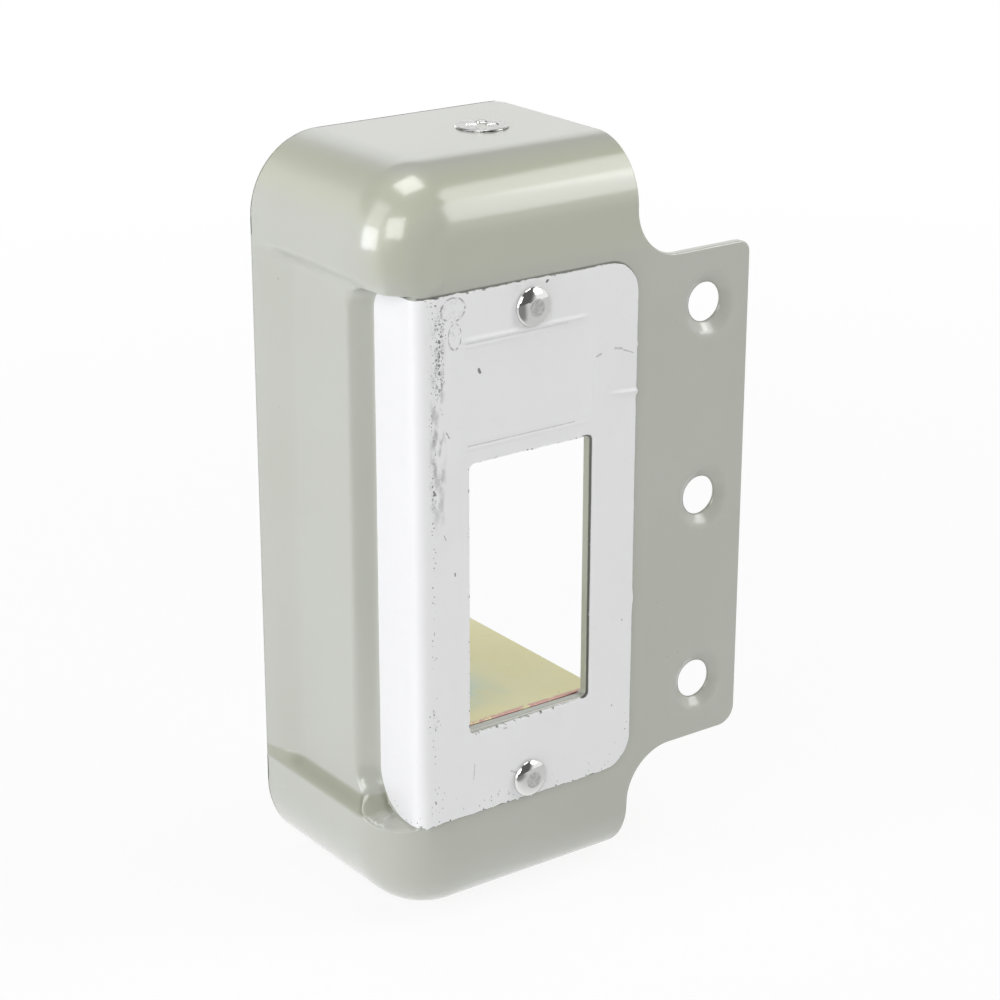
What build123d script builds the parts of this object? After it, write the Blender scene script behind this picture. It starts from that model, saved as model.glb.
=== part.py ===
from build123d import *
import os

# A door strike plate: a pressed sheet steel case, open at the back and at one side, with a
# screwing flange. A thin bent strike plate is riveted over its mouth, and a folded bracket
# behind the mouth hangs from one countersunk screw.
# Millimetres. Origin on the flange's back face, on the axis of the middle screw hole.
# +X runs from the case to the flange, +Y into the case, +Z up.

# Case and flange
SHEET = 1.5
CASE_WIDTH = 45.1
CASE_DEPTH = 35.0
CASE_RISE = 58.0
CASE_DROP = 58.9
TOP_EDGE_RADIUS = 11.8
BOTTOM_EDGE_RADIUS = 13.5
FRONT_RADIUS = 10.0
REAR_CORNER = 2.5
FLANGE_REACH = 21.8
FLANGE_TOP_CORNER = 2.0
FLANGE_BOTTOM_CORNER = 3.0
TOP_NOTCH_RADIUS = 7.8
BOTTOM_NOTCH_RADIUS = 8.3
NOTCH_TOP_GAP = 0.2
NOTCH_BOTTOM_GAP = 0.15

# Countersunk screw holes in the flange
HOLE_COUNT = 3
HOLE_PITCH = 31.2
HOLE_INSET = 7.9
HOLE_DIAMETER = 6.2
SINK_DIAMETER = 9.9
SINK_LAND = 0.3

# Window through the plate and the case
WINDOW_WIDTH = 22.2
WINDOW_RISE = 14.7
WINDOW_DROP = 27.8
WINDOW_INSET = 8.5
WINDOW_CORNER = 0.9

# Strike plate, bent from thin sheet
PLATE_SHEET = 0.45
PLATE_PROUD = 0.1
PLATE_TOP_MARGIN = 17.6
PLATE_BOTTOM_MARGIN = 17.35
PLATE_CORNER = 5.0
PLATE_BEND = 2.0
LEG_INSET = 5.2
LEG_DEPTH = 10.4
LEG_TOP_CORNER = 3.0
LEG_BOTTOM_CORNER = 7.0

# Hollows pressed into the case for the plate and along its side
SEAT_CLEARANCE = 0.4
SEAT_SLOPE = 1.7
POCKET_CLEARANCE = 0.1
POCKET_TOP_GAP = 1.0
POCKET_BOTTOM_GAP = 0.5
POCKET_RUN = 2.8
POCKET_ROUND = 0.8
BAND_SINK = 2.3
BAND_TOP_MARGIN = 14.5
BAND_BOTTOM_MARGIN = 16.5
BAND_SLOPE = 2.9
BAND_EDGE_ROUND = 3.0
BAND_FLOOR_ROUND = 1.5
BAND_FADE = 7.0
BAND_FADE_ROUND = 15.0
BAND_RIM_SINK = 0.1

# Rivets
RIVET_HEAD_DIAMETER = 6.0
RIVET_HEAD_HEIGHT = 1.4
RIVET_RIM = 0.25
RIVET_DIMPLE_DIAMETER = 1.6
RIVET_DIMPLE_DEPTH = 0.15
RIVET_SHANK_DIAMETER = 3.5
RIVET_TAIL_DIAMETER = 5.2
RIVET_TAIL_HEIGHT = 1.1
RIVET_CLEARANCE = 0.05
RIVET_TOP_MARGIN = 3.9
RIVET_BOTTOM_MARGIN = 3.1

# Folded bracket inside the case
BRACKET_SHEET = 1.6
WEB_GAP = 0.95
BEND_CLEARANCE = 0.1
SHELF_INSET = 5.15
SHELF_FRONT_GAP = 0.25
SHELF_REAR_REACH = 1.8
LEG_FRONT_GAP = 0.4
WEB_CUT_HEIGHT = 10.0

# Countersunk bracket screw
SCREW_DIAMETER = 4.0
SCREW_LENGTH = 8.3
SCREW_TIP_CHAMFER = 0.6
SCREW_HEAD_DIAMETER = 8.1
SCREW_PROUD = 0.3
SCREW_HEAD_ROUND = 0.25
SCREW_CLEARANCE = 0.05
SCREW_INSET = 13.2
SCREW_SETBACK = 21.1
RECESS_SPAN = 4.4
RECESS_WIDTH = 1.1
RECESS_DEPTH = 1.7
RECESS_SLOPE = 0.3
RECESS_FOOT = 0.7

# How far a cutting shape runs past what it cuts, and how far it stays off a face it blends into
PAST = 4.0
SKIM = 0.02

# Planes of the case
front = -SHEET
back = front + CASE_DEPTH
free_edge = HOLE_INSET
open_edge = free_edge - FLANGE_REACH
left = open_edge - CASE_WIDTH
top = CASE_RISE
bottom = -CASE_DROP

# Planes of the strike plate and of the window
plate_left = left + LEG_INSET
plate_top = top - PLATE_TOP_MARGIN
plate_bottom = bottom + PLATE_BOTTOM_MARGIN
plate_front = front - PLATE_PROUD
seat = plate_front + PLATE_SHEET
seat_back = seat + SHEET
leg_floor = plate_left + PLATE_SHEET
leg_end = plate_front + LEG_DEPTH
window_right = open_edge - WINDOW_INSET
window_left = window_right - WINDOW_WIDTH
window_bottom = -WINDOW_DROP

# Places of the fasteners
rivet_x = (window_left + window_right) / 2
rivet_heights = (plate_top - RIVET_TOP_MARGIN, plate_bottom + RIVET_BOTTOM_MARGIN)
hole_heights = [HOLE_PITCH * (n - (HOLE_COUNT - 1) / 2) for n in range(HOLE_COUNT)]
screw_x = open_edge - SCREW_INSET
screw_y = front + SCREW_SETBACK


def block(x0, x1, y0, y1, z0, z1):
    """A box between three pairs of planes."""
    centre = Pos((x0 + x1) / 2, (y0 + y1) / 2, (z0 + z1) / 2)
    return centre * Box(x1 - x0, y1 - y0, z1 - z0)


def rectangle(x0, x1, y0, y1):
    """A rectangle between two pairs of lines of its own plane."""
    return Pos((x0 + x1) / 2, (y0 + y1) / 2) * Rectangle(x1 - x0, y1 - y0)


def outline(*points):
    """A face inside straight lines through the points."""
    return make_face(Polyline(*points, close=True))


def facing_front(y):
    """A plane across the case's depth, with its axes along X and Z."""
    return Plane(origin=(0, y, 0), x_dir=(1, 0, 0), z_dir=(0, -1, 0))


def along_y(face, y0, y1):
    """A face drawn in X and Z, carried from y0 to y1."""
    return extrude(facing_front(y0) * face, amount=y1 - y0, dir=(0, 1, 0))


def along_z(face, z0, z1):
    """A face drawn in X and Y, carried from z0 to z1."""
    return extrude(Plane.XY.offset(z0) * face, amount=z1 - z0, dir=(0, 0, 1))


def corners_at(face, *points):
    """The vertices of a face that lie at the points."""
    return [face.vertices().sort_by_distance(point)[0] for point in points]


def rounded_block(inset):
    """The case's outer form, drawn in by inset, with the open side and back left square."""
    past = PAST if inset else 0
    body = block(left + inset, open_edge + past, front + inset, back + past, bottom + inset, top - inset)
    for radius, height in ((TOP_EDGE_RADIUS, top), (BOTTOM_EDGE_RADIUS, bottom)):
        corner_edge = body.edges().filter_by(Axis.Y).sort_by_distance((left, back, height))[0]
        body = fillet(corner_edge, radius - inset)
    across = body.faces().sort_by(Axis.Y)[0].edges()
    mouth = [edge for edge in across if (edge @ 0.5).X < open_edge + past - SKIM]
    return fillet(mouth, FRONT_RADIUS - inset)


def grown(face, amount):
    """The face with its outline moved out by amount."""
    return offset(face, amount=amount) if amount else face


def plate_seat(shift):
    """The shallow hollow under the strike plate, with sides that slope out gently."""
    edge = SEAT_CLEARANCE
    deep = seat + shift
    depth = seat - front
    sections = []
    for y, spread in ((deep, edge), (deep - 2 * depth, edge + 2 * SEAT_SLOPE)):
        right = open_edge + spread
        low = plate_bottom - spread
        high = plate_top + spread
        face = rectangle(plate_left - PAST, right, low, high)
        face = fillet(corners_at(face, (right, low), (right, high)), PLATE_CORNER + spread)
        sections.append(facing_front(y) * face)
    return loft(sections, ruled=True)


def leg_pocket(growth):
    """The hollow at the front left corner for the plate's leg, with the corner bent inside it."""
    far = left - PAST
    corner = leg_floor + PLATE_BEND
    pocket_end = leg_end + POCKET_CLEARANCE + POCKET_ROUND / 2
    rise = POCKET_RUN / (leg_floor - left - BAND_SINK)
    face = outline(
        (far, front - PAST),
        (corner, front - PAST),
        (corner, seat),
        (leg_floor, seat),
        (leg_floor, pocket_end),
        (far, pocket_end + rise * (leg_floor - far)),
    )
    face = fillet(corners_at(face, (leg_floor, pocket_end)), POCKET_ROUND)
    if growth:
        face = offset(face, amount=growth)
    else:
        face = fillet(corners_at(face, (leg_floor, seat)), PLATE_BEND - PLATE_SHEET)
    low = plate_bottom - POCKET_BOTTOM_GAP - growth
    high = plate_top + POCKET_TOP_GAP + growth
    return along_z(face, low, high)


def side_band(growth):
    """The long shallow hollow in the left side, with sloping ledges, fading out at the back."""
    far = left - PAST
    skin = left - SKIM
    floor = left + BAND_SINK
    high = top - BAND_TOP_MARGIN
    low = bottom + BAND_BOTTOM_MARGIN
    section = outline(
        (far, low - PAST),
        (skin, low - PAST),
        (skin, low),
        (floor, low + BAND_SLOPE),
        (floor, high - BAND_SLOPE),
        (skin, high),
        (skin, high + PAST),
        (far, high + PAST),
    )
    section = fillet(corners_at(section, (skin, low), (skin, high)), BAND_EDGE_ROUND)
    floor_corners = corners_at(section, (floor, low + BAND_SLOPE), (floor, high - BAND_SLOPE))
    section = fillet(floor_corners, BAND_FLOOR_ROUND)
    fade_start = back - BAND_FADE
    fade_rate = (BAND_SINK - BAND_RIM_SINK) / BAND_FADE
    deep = floor + SKIM
    plan = outline(
        (far - PAST, front - PAST),
        (deep, front - PAST),
        (deep, fade_start),
        (deep - fade_rate * (BAND_FADE + PAST), back + PAST),
        (far - PAST, back + PAST),
    )
    plan = fillet(corners_at(plan, (deep, fade_start)), BAND_FADE_ROUND)
    prism = along_y(grown(section, growth), front - 2 * PAST, back + 2 * PAST)
    return prism & along_z(grown(plan, growth), low - 2 * PAST, high + 2 * PAST)


def make_front_sheet():
    """The flange, with the flat strip of the front wall that it grows from."""
    strip_low = bottom + FRONT_RADIUS
    strip_high = top - FRONT_RADIUS
    low = strip_low + BOTTOM_NOTCH_RADIUS + NOTCH_BOTTOM_GAP
    high = strip_high - TOP_NOTCH_RADIUS - NOTCH_TOP_GAP
    flange = rectangle(open_edge - SHEET, free_edge, low, high)
    face = flange + rectangle(open_edge - 2 * SHEET, open_edge, strip_low, strip_high)
    face = fillet(corners_at(face, (free_edge, high)), FLANGE_TOP_CORNER)
    face = fillet(corners_at(face, (free_edge, low)), FLANGE_BOTTOM_CORNER)
    face = fillet(corners_at(face, (open_edge, high)), TOP_NOTCH_RADIUS)
    face = fillet(corners_at(face, (open_edge, low)), BOTTOM_NOTCH_RADIUS)
    return along_y(face, front, front + SHEET)


def flange_hole(height):
    """A countersunk screw hole, widest at the front face."""
    sink = SHEET - SINK_LAND
    flare = (SINK_DIAMETER - HOLE_DIAMETER) / 2 / sink
    wide = SINK_DIAMETER / 2 + flare * PAST
    profile = outline(
        (0, front - PAST),
        (wide, front - PAST),
        (HOLE_DIAMETER / 2, front + sink),
        (HOLE_DIAMETER / 2, front + SHEET + PAST),
        (0, front + SHEET + PAST),
    )
    return Pos(0, 0, height) * revolve(profile, Axis.Y)


def window_cut():
    """The mouth for the latch bolt, through the plate and the case's front wall."""
    face = rectangle(window_left, window_right, window_bottom, WINDOW_RISE)
    face = fillet(face.vertices(), WINDOW_CORNER)
    return along_y(face, plate_front - PAST, seat_back + PAST)


def rivet_holes():
    """Both rivet holes, a clearance wider than the shanks."""
    radius = RIVET_SHANK_DIAMETER / 2 + RIVET_CLEARANCE
    places = [Pos(rivet_x, height) * Circle(radius) for height in rivet_heights]
    return along_y(places[0] + places[1], plate_front - PAST, seat_back + PAST)


def screw_sink():
    """The screw's countersunk hole through the top wall and the bracket's top leg."""
    head = SCREW_HEAD_DIAMETER / 2 + SCREW_CLEARANCE
    bore = SCREW_DIAMETER / 2 + SCREW_CLEARANCE
    deep = SHEET + BRACKET_SHEET + PAST
    cone = Pos(0, 0, top - head / 2) * Cone(0, head, head)
    hole = Pos(0, 0, top - deep / 2) * Cylinder(bore, deep)
    return Pos(screw_x, screw_y, 0) * (cone + hole)


def make_case():
    """One pressing: the outer skin less an inner skin one sheet inside it, with its flange."""
    corner_fill = block(leg_floor, window_left, seat, leg_end, plate_bottom + SHEET, plate_top - SHEET)
    corner_edge = corner_fill.edges().filter_by(Axis.Z).sort_by_distance((leg_floor, seat, 0))[0]
    corner_fill = fillet(corner_edge, PLATE_BEND - PLATE_SHEET)
    outer = rounded_block(0) - leg_pocket(0) - side_band(0) + corner_fill
    inner = rounded_block(SHEET) - leg_pocket(SHEET) - side_band(SHEET) - plate_seat(SHEET)
    case = outer - inner + make_front_sheet()
    case = case - plate_seat(0) - window_cut() - rivet_holes() - screw_sink()
    for height in hole_heights:
        case = case - flange_hole(height)
    rear = case.edges().filter_by(Axis.Z).group_by(Axis.Y)[-1]
    rear = [edge for edge in rear if (edge @ 0.5).X > open_edge - SKIM]
    return fillet(rear, REAR_CORNER)


def make_strike_plate():
    """The thin plate, bent once round the case's corner."""
    section = outline(
        (plate_left, plate_front),
        (open_edge, plate_front),
        (open_edge, seat),
        (leg_floor, seat),
        (leg_floor, leg_end),
        (plate_left, leg_end),
    )
    section = fillet(corners_at(section, (plate_left, plate_front)), PLATE_BEND)
    section = fillet(corners_at(section, (leg_floor, seat)), PLATE_BEND - PLATE_SHEET)
    plate = along_z(section, plate_bottom, plate_top)
    plate = fillet(plate.edges().filter_by(Axis.Y).group_by(Axis.X)[-1], PLATE_CORNER)
    free_end = plate.edges().filter_by(Axis.X).group_by(Axis.Y)[-1].sort_by(Axis.Z)
    plate = fillet(free_end[0], LEG_BOTTOM_CORNER)
    free_end = plate.edges().filter_by(Axis.X).group_by(Axis.Y)[-1].sort_by(Axis.Z)
    plate = fillet(free_end[-1], LEG_TOP_CORNER)
    return plate - window_cut() - rivet_holes()


def make_rivet(height):
    """A domed rivet with a small dimple, its tail spread behind the front wall."""
    head = RIVET_HEAD_DIAMETER / 2
    crown = plate_front - RIVET_HEAD_HEIGHT
    shank = RIVET_SHANK_DIAMETER / 2
    tail = RIVET_TAIL_DIAMETER / 2
    dimple = RIVET_DIMPLE_DIAMETER / 2
    shoulder = (head * 0.62, crown + RIVET_HEAD_HEIGHT * 0.2)
    lines = Polyline((dimple, crown), (0, crown + RIVET_DIMPLE_DEPTH), (0, seat_back + RIVET_TAIL_HEIGHT))
    lines += Polyline(
        (0, seat_back + RIVET_TAIL_HEIGHT),
        (tail * 0.8, seat_back + RIVET_TAIL_HEIGHT),
        (tail, seat_back + RIVET_TAIL_HEIGHT / 2),
        (tail * 0.9, seat_back),
        (shank, seat_back),
        (shank, plate_front),
        (head, plate_front),
        (head, plate_front - RIVET_RIM),
    )
    lines += ThreePointArc((head, plate_front - RIVET_RIM), shoulder, (dimple, crown))
    return Pos(rivet_x, 0, height) * revolve(make_face(lines), Axis.Y)


def make_bracket():
    """One folded strip: a top leg under the screw, a web, and the shelf seen in the window."""
    web_left = leg_floor + SHEET + WEB_GAP
    leg_top = top - SHEET
    shelf_top = window_bottom
    shelf_bottom = shelf_top - BRACKET_SHEET
    shelf_right = open_edge - SHELF_INSET
    shelf_front = seat_back + SHELF_FRONT_GAP
    shelf_rear = back + SHELF_REAR_REACH
    bend = left + TOP_EDGE_RADIUS - web_left + BEND_CLEARANCE
    web_right = web_left + BRACKET_SHEET
    face = outline(
        (shelf_right, leg_top),
        (web_left, leg_top),
        (web_left, shelf_bottom),
        (shelf_right, shelf_bottom),
        (shelf_right, shelf_top),
        (web_right, shelf_top),
        (web_right, leg_top - BRACKET_SHEET),
        (shelf_right, leg_top - BRACKET_SHEET),
    )
    outer_corners = corners_at(face, (web_left, leg_top), (web_left, shelf_bottom))
    face = fillet(outer_corners, bend)
    inner_corners = corners_at(face, (web_right, leg_top - BRACKET_SHEET), (web_right, shelf_top))
    face = fillet(inner_corners, bend - BRACKET_SHEET)
    strip = along_y(face, shelf_front, shelf_rear)
    leg_front = front + FRONT_RADIUS + LEG_FRONT_GAP
    cut_foot = leg_top - bend - WEB_CUT_HEIGHT
    cut_face = Plane.YZ * outline(
        (shelf_front - PAST, cut_foot),
        (shelf_front, cut_foot),
        (leg_front, leg_top - bend),
        (leg_front, leg_top + PAST),
        (shelf_front - PAST, leg_top + PAST),
    )
    cut = Pos(web_left - PAST, 0, 0) * extrude(cut_face, amount=CASE_WIDTH)
    return strip - cut - screw_sink()


def make_screw():
    """A countersunk machine screw with a cross recess."""
    head = SCREW_HEAD_DIAMETER / 2
    shank = SCREW_DIAMETER / 2
    crown = top + SCREW_PROUD
    tip = crown - SCREW_LENGTH
    profile = outline(
        (0, crown),
        (head - SCREW_HEAD_ROUND, crown),
        (head, crown - SCREW_HEAD_ROUND),
        (head, top),
        (shank, top - (head - shank)),
        (shank, tip + SCREW_TIP_CHAMFER),
        (shank - SCREW_TIP_CHAMFER, tip),
        (0, tip),
    )
    body = revolve(Plane.XZ * profile, Axis.Z)
    narrow = 2 * RECESS_DEPTH * RECESS_SLOPE
    recess = []
    for length, width in ((RECESS_SPAN, RECESS_WIDTH), (RECESS_WIDTH, RECESS_SPAN)):
        wing_top = Plane.XY.offset(crown) * Rectangle(length, width)
        foot = (max(length - narrow, RECESS_FOOT), max(width - narrow, RECESS_FOOT))
        wing_foot = Plane.XY.offset(crown - RECESS_DEPTH) * Rectangle(*foot)
        recess.append(loft([wing_top, wing_foot], ruled=True))
    body = body - recess[0] - recess[1]
    return Pos(screw_x, screw_y, 0) * body


os.makedirs("parts", exist_ok=True)
export_step(make_case(), "parts/case.step")
export_step(make_strike_plate(), "parts/strike_plate.step")
export_step(Compound(children=[make_rivet(height) for height in rivet_heights]), "parts/rivets.step")
export_step(make_bracket(), "parts/inner_bracket.step")
export_step(make_screw(), "parts/bracket_screw.step")
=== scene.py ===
"""A door strike plate: a painted steel case, its riveted strike plate, an inner bracket and its screw."""

import math

import bmesh
import bpy
import numpy as np
from bpy.props import FloatProperty, FloatVectorProperty, PointerProperty
from bpy.types import Operator, Panel, PropertyGroup
from mathutils import Matrix, Vector
from mathutils.geometry import delaunay_2d_cdt


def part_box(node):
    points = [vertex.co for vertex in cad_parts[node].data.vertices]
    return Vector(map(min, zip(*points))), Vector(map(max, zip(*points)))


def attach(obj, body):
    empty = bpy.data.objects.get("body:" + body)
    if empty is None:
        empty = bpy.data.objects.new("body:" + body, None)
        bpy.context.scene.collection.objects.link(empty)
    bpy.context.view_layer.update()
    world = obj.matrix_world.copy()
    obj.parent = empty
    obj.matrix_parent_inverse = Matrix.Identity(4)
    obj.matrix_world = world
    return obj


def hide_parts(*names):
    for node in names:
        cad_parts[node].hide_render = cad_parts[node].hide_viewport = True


bl_info = {
    "name": "Door Strike Plate",
    "version": (1, 0, 0),
    "blender": (4, 5, 0),
    "location": "View3D > Sidebar > Strike Plate",
    "description": "Builds a door strike plate with its case, plate, rivets, bracket and screw",
    "category": "Object",
}

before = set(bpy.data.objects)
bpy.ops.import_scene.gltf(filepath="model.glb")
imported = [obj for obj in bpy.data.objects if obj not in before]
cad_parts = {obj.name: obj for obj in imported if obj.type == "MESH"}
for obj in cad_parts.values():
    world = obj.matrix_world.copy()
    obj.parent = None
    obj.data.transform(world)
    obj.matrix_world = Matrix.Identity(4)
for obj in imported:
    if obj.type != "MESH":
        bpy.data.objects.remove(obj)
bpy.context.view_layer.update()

# Lengths in this file are millimetres until a mesh is written
MM = 0.001
CASE_LOW, CASE_HIGH = [np.array(corner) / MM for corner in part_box("case")]
PLATE_LOW, PLATE_HIGH = [np.array(corner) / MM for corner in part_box("strike_plate")]
RIVET_LOW, RIVET_HIGH = [np.array(corner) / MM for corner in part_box("rivets")]
BRACKET_LOW, BRACKET_HIGH = [np.array(corner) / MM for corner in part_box("inner_bracket")]
SCREW_LOW, SCREW_HIGH = [np.array(corner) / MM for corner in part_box("bracket_screw")]

# Planes that the pieces share
FRONT = CASE_LOW[1]
BACK = CASE_HIGH[1]
LEFT = CASE_LOW[0]
FREE_EDGE = CASE_HIGH[0]
TOP = CASE_HIGH[2]
BOTTOM = CASE_LOW[2]
OPEN_EDGE = PLATE_HIGH[0]

# Outline of the case and its flange
FLANGE_HIGH = 40.0
FLANGE_LOW = -40.45
FLANGE_TOP_CORNER = 2.0
FLANGE_BOTTOM_CORNER = 3.0
TOP_NOTCH_RADIUS = 7.8
BOTTOM_NOTCH_RADIUS = 8.3
REAR_CORNER = 2.5
HOLE_HEIGHTS = (-31.2, 0.0, 31.2)
HOLE_DIAMETER = 6.2
SINK_DIAMETER = 9.9
SINK_LAND = 0.3
CASE_EDGE = 0.28
WINDOW = (OPEN_EDGE - 30.7, OPEN_EDGE - 8.5, -27.8, 14.7)
WINDOW_CORNER = 0.9

# Hollows pressed into the case
SEAT_DEPTH = 0.35
SEAT_EDGE = 0.4
SEAT_SLOPE = 1.7
SEAT_TURN = (66.0, 88.0)
BAND_SINK = 2.3
BAND_FADE = 8.5
BAND_ROUND = 0.3
BAND_HIGH = (40.4, 43.6)
BAND_LOW = (-41.2, -38.9)
BAND_LOW_EASE = 0.2
LEAST_COSINE = 0.05
POCKET_SINK = 5.65
POCKET_GAP = 0.2
POCKET_LOW_GAP = 0.05
POCKET_REAR_RUN = 2.9
POCKET_END_RUN = 0.5
POCKET_LEAST_BEND = 0.15

# The case's grid: where its rows of points crowd, how many there are along each part, and how far apart
# points lie on its rim and on its front wall
CASE_STATIONS = (-43.2, -33.5, 35.5, 39.8, 44.2)
CASE_COUNTS = (5, 40, 26, 12, 30, 4)
LOW_WALL_POINTS = 24
TOP_WALL_POINTS = 40
EDGE_ARC_POINTS = 26
REAR_ARC_POINTS = 9
FRONT_ARC_POINTS = 52
FLANK_POINTS = (18, 24)
FLANK_STATION = 16.5
NOTCH_POINTS = 20
FLANGE_TOP_POINTS = 8
FLANGE_BOTTOM_POINTS = 10
HOLE_SIDES = 64
WALL_START = 0.05
RIM_SPACING = 0.9
WALL_SPACING = 0.75
GRID_MARGIN = 0.55

# The strike plate's sheet
PLATE_SHEET = 0.45
PLATE_BEND = 2.0
PLATE_CORNER = 5.0
LEG_TOP_CORNER = 3.0
LEG_BOTTOM_CORNER = 7.0
PLATE_EDGE = 0.06
PLATE_RIM_SPACING = 0.3
PLATE_SPACING = 0.65
PANEL_SPACING = 0.22
SILL_DROP = 0.4
SILL_REACH = 2.0
SILL_GAP = 0.1
SIDE_RAG = 0.2
RELIEF_RUN = 3.0
PANEL_MARGIN = 2.0
PLATE_HEAD_MARGIN = 5.0

# The rivets, from the plate's face: a dished crown on a low rim, a shank and a spread tail. The head is
# undercut by the first of two lengths, up to the second above the plate
RIVET_X = (RIVET_LOW[0] + RIVET_HIGH[0]) / 2
RIVET_HEIGHTS = (36.5, -38.45)
RIVET_RIM = 0.32
RIVET_DISH = 0.43
RIVET_DISH_DEPTH = 0.05
RIVET_DISH_EASE = 0.22
RIVET_LIP = 0.02
RIVET_LIP_WIDTH = 0.16
RIVET_UNDERCUT = (0.08, 0.1)
RIVET_SHANK = 3.5
RIVET_TAIL = 5.2
RIVET_TAIL_HEIGHT = 1.1
RIVET_TAIL_STEP = 0.1
RIVET_TAIL_ROUND = 0.5
RIVET_DISH_POINTS = 14
RIVET_DOME_POINTS = 26
RIVET_SIDES = 96
RIVET_AXES = ((1, 0, 0), (0, 0, 1), (0, 1, 0))

# The bracket's folded strip
BRACKET_BEND = 3.8
BRACKET_CORNER = 0.5
BRACKET_CUT = (43.3, 53.3)
BRACKET_CUT_REAR = 8.9
BRACKET_SPACING = 0.6
BRACKET_ROWS = 60
BRACKET_ARC_POINTS = 14
BRACKET_EDGE = 0.12

# The screw, with its cross recess. Its head's rim starts a little way in and drops in two steps
SCREW_DIAMETER = 4.0
SCREW_TIP = 2.8
SCREW_TIP_HEIGHT = 0.6
SCREW_FACE_MARGIN = 0.2
SCREW_DOME = 0.02
SCREW_RIM = (0.08, 0.04, 0.12)
SCREW_RINGS = 60
SCREW_SIDES = 144
RECESS_TURN = math.radians(-36)
RECESS_ARM = 2.1
RECESS_HALF_WIDTH = 0.42
RECESS_SLOPE = 0.45
RECESS_DEPTH = 1.3
RECESS_END_DEPTH = 0.35
RECESS_FALL = 1.1
RECESS_REACH = 2.6

# Relief of the plate's face. A crease has its place from the panel's edge, its height and its width
PANEL = (-46.6, -22.6, 17.45, 32.5)
PANEL_SINK = 0.07
PANEL_EASE = (1.6, 1.4, 1.6, 2.4)
CREASE_EASE = 2.2
PANEL_SLANT = 0.010
TOP_CREASES = ((0.80, 0.25, 0.30), (0.30, -0.08, 0.20))
SLANTED_CREASE = (-0.12, 0.20, 0.22)
LOW_CREASES = ((-0.30, 0.17, 0.26), (0.0, -0.12, 0.16))
SIDE_CREASES = ((0.25, 0.10, 0.22), (1.0, 0.10, 0.20))
SIDE_CREASE_TOP = 2.0
SIDE_CREASE_EASE = 3.0

# The wrinkle that rises towards the plate's free edge, and the shallow valley below it
WRINKLE_END = (-14.0, 20.1)
WRINKLE_SLOPE = -0.09
WRINKLE_RISE = 0.26
WRINKLE_START = -21.0
WRINKLE_RUN = 5.0
WRINKLE_WIDTHS = (0.22, 0.55)
VALLEY_HEIGHT = 18.6
VALLEY_RISE = -0.10
VALLEY_START = -20.0
VALLEY_RUN = 4.0
VALLEY_WIDTH = 0.9

# Two faint waves: how high each is, and its rate and start along x and z
BROAD_WAVE = (0.03, 0.21, 0.9, 0.13, 0.4)
FINE_WAVE = (0.012, 0.3, 0.55)

# Humps and dents: x, z, half width, half height, and how far each stands out
HUMPS = (
    (-16.6, -13.6, 2.2, 1.6, 0.05),
    (-14.6, 27.0, 1.0, 0.8, -0.04),
    *((RIVET_X, height, 5.2, 5.2, -0.05) for height in RIVET_HEIGHTS),
)

# Marks on the plate: burrs on its cut edge, places where specks gather, ring scuffs, and strokes, two
# of which are painted shade along the panel's creases
PLATE_BURRS = (
    (-52.4, PLATE_LOW[2], 0.3, 0.25),
    (-50.9, PLATE_LOW[2], 0.25, 0.2),
    (-35.6, PLATE_LOW[2], 0.35, 0.35),
    (-32.9, PLATE_LOW[2], 0.45, 0.16),
    (PLATE_HIGH[0], 27.3, 0.22, 0.3),
    (PLATE_HIGH[0], 19.9, 0.12, 0.4),
    (PLATE_HIGH[0], -13.6, 0.18, 1.2),
)
SPECK_PATCHES = (
    (-15.6, -35.0, 2.0, 7.0, 0.6, 0.10),
    (-51.3, -24.4, 1.7, 3.4, 0.7, 0.5),
    (-39.5, -40.6, 5.0, 1.5, 0.6, 0.2),
    (-50.9, 39.6, 1.3, 0.6, 0.5, 0.6),
    (-50.6, -38.0, 2.0, 3.2, 0.7, 0.3),
)
RING_SCUFFS = ((-47.4, 38.3, 2.05, 1.75, 0.6), (-47.1, 34.3, 1.1, 1.9, 0.5))
STROKES_AND_CREASE_SHADE = (
    # The first two strokes are painted shade along the panel's bottom and top creases
    ((-44.8, 17.45), (-25.5, 17.45), 0.10, 0.3),
    ((-45.2, 32.85), (-27.0, 32.95), 0.10, 0.22),
    ((-42.9, 28.7), (-42.7, 28.3), 0.3, 0.8),
    ((-48.6, 20.3), (-48.1, 19.4), 0.10, 0.7),
    ((-18.1, 27.4), (-16.9, 27.2), 0.22, 0.35),
    ((-16.5, 26.9), (-14.6, 26.1), 0.14, 0.4),
    ((-21.6, 26.8), (-20.7, 27.0), 0.2, 0.35),
    ((-30.9, 39.7), (-30.7, 39.9), 0.22, 0.9),
    ((-35.5, 38.2), (-35.4, 38.5), 0.16, 0.6),
    ((-43.7, -33.4), (-43.9, -35.9), 0.08, 0.45),
    ((-47.2, -1.6), (-47.2, -2.0), 0.18, 0.85),
    ((-49.1, 4.7), (-48.8, 4.0), 0.14, 0.4),
    ((-50.9, 11.9), (-50.6, 11.3), 0.28, 0.75),
    ((-36.9, -36.5), (-36.0, -36.9), 0.2, 0.25),
    ((-38.3, -28.9), (-37.8, -29.0), 0.18, 0.35),
    ((-50.9, -37.6), (-50.8, -37.9), 0.16, 0.7),
    ((-15.9, -16.6), (-15.8, -16.8), 0.15, 0.5),
    ((-17.6, -30.6), (-17.5, -30.8), 0.14, 0.45),
    ((-38.5, -42.0), (-34.0, -41.9), 0.12, 0.35),
)
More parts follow.
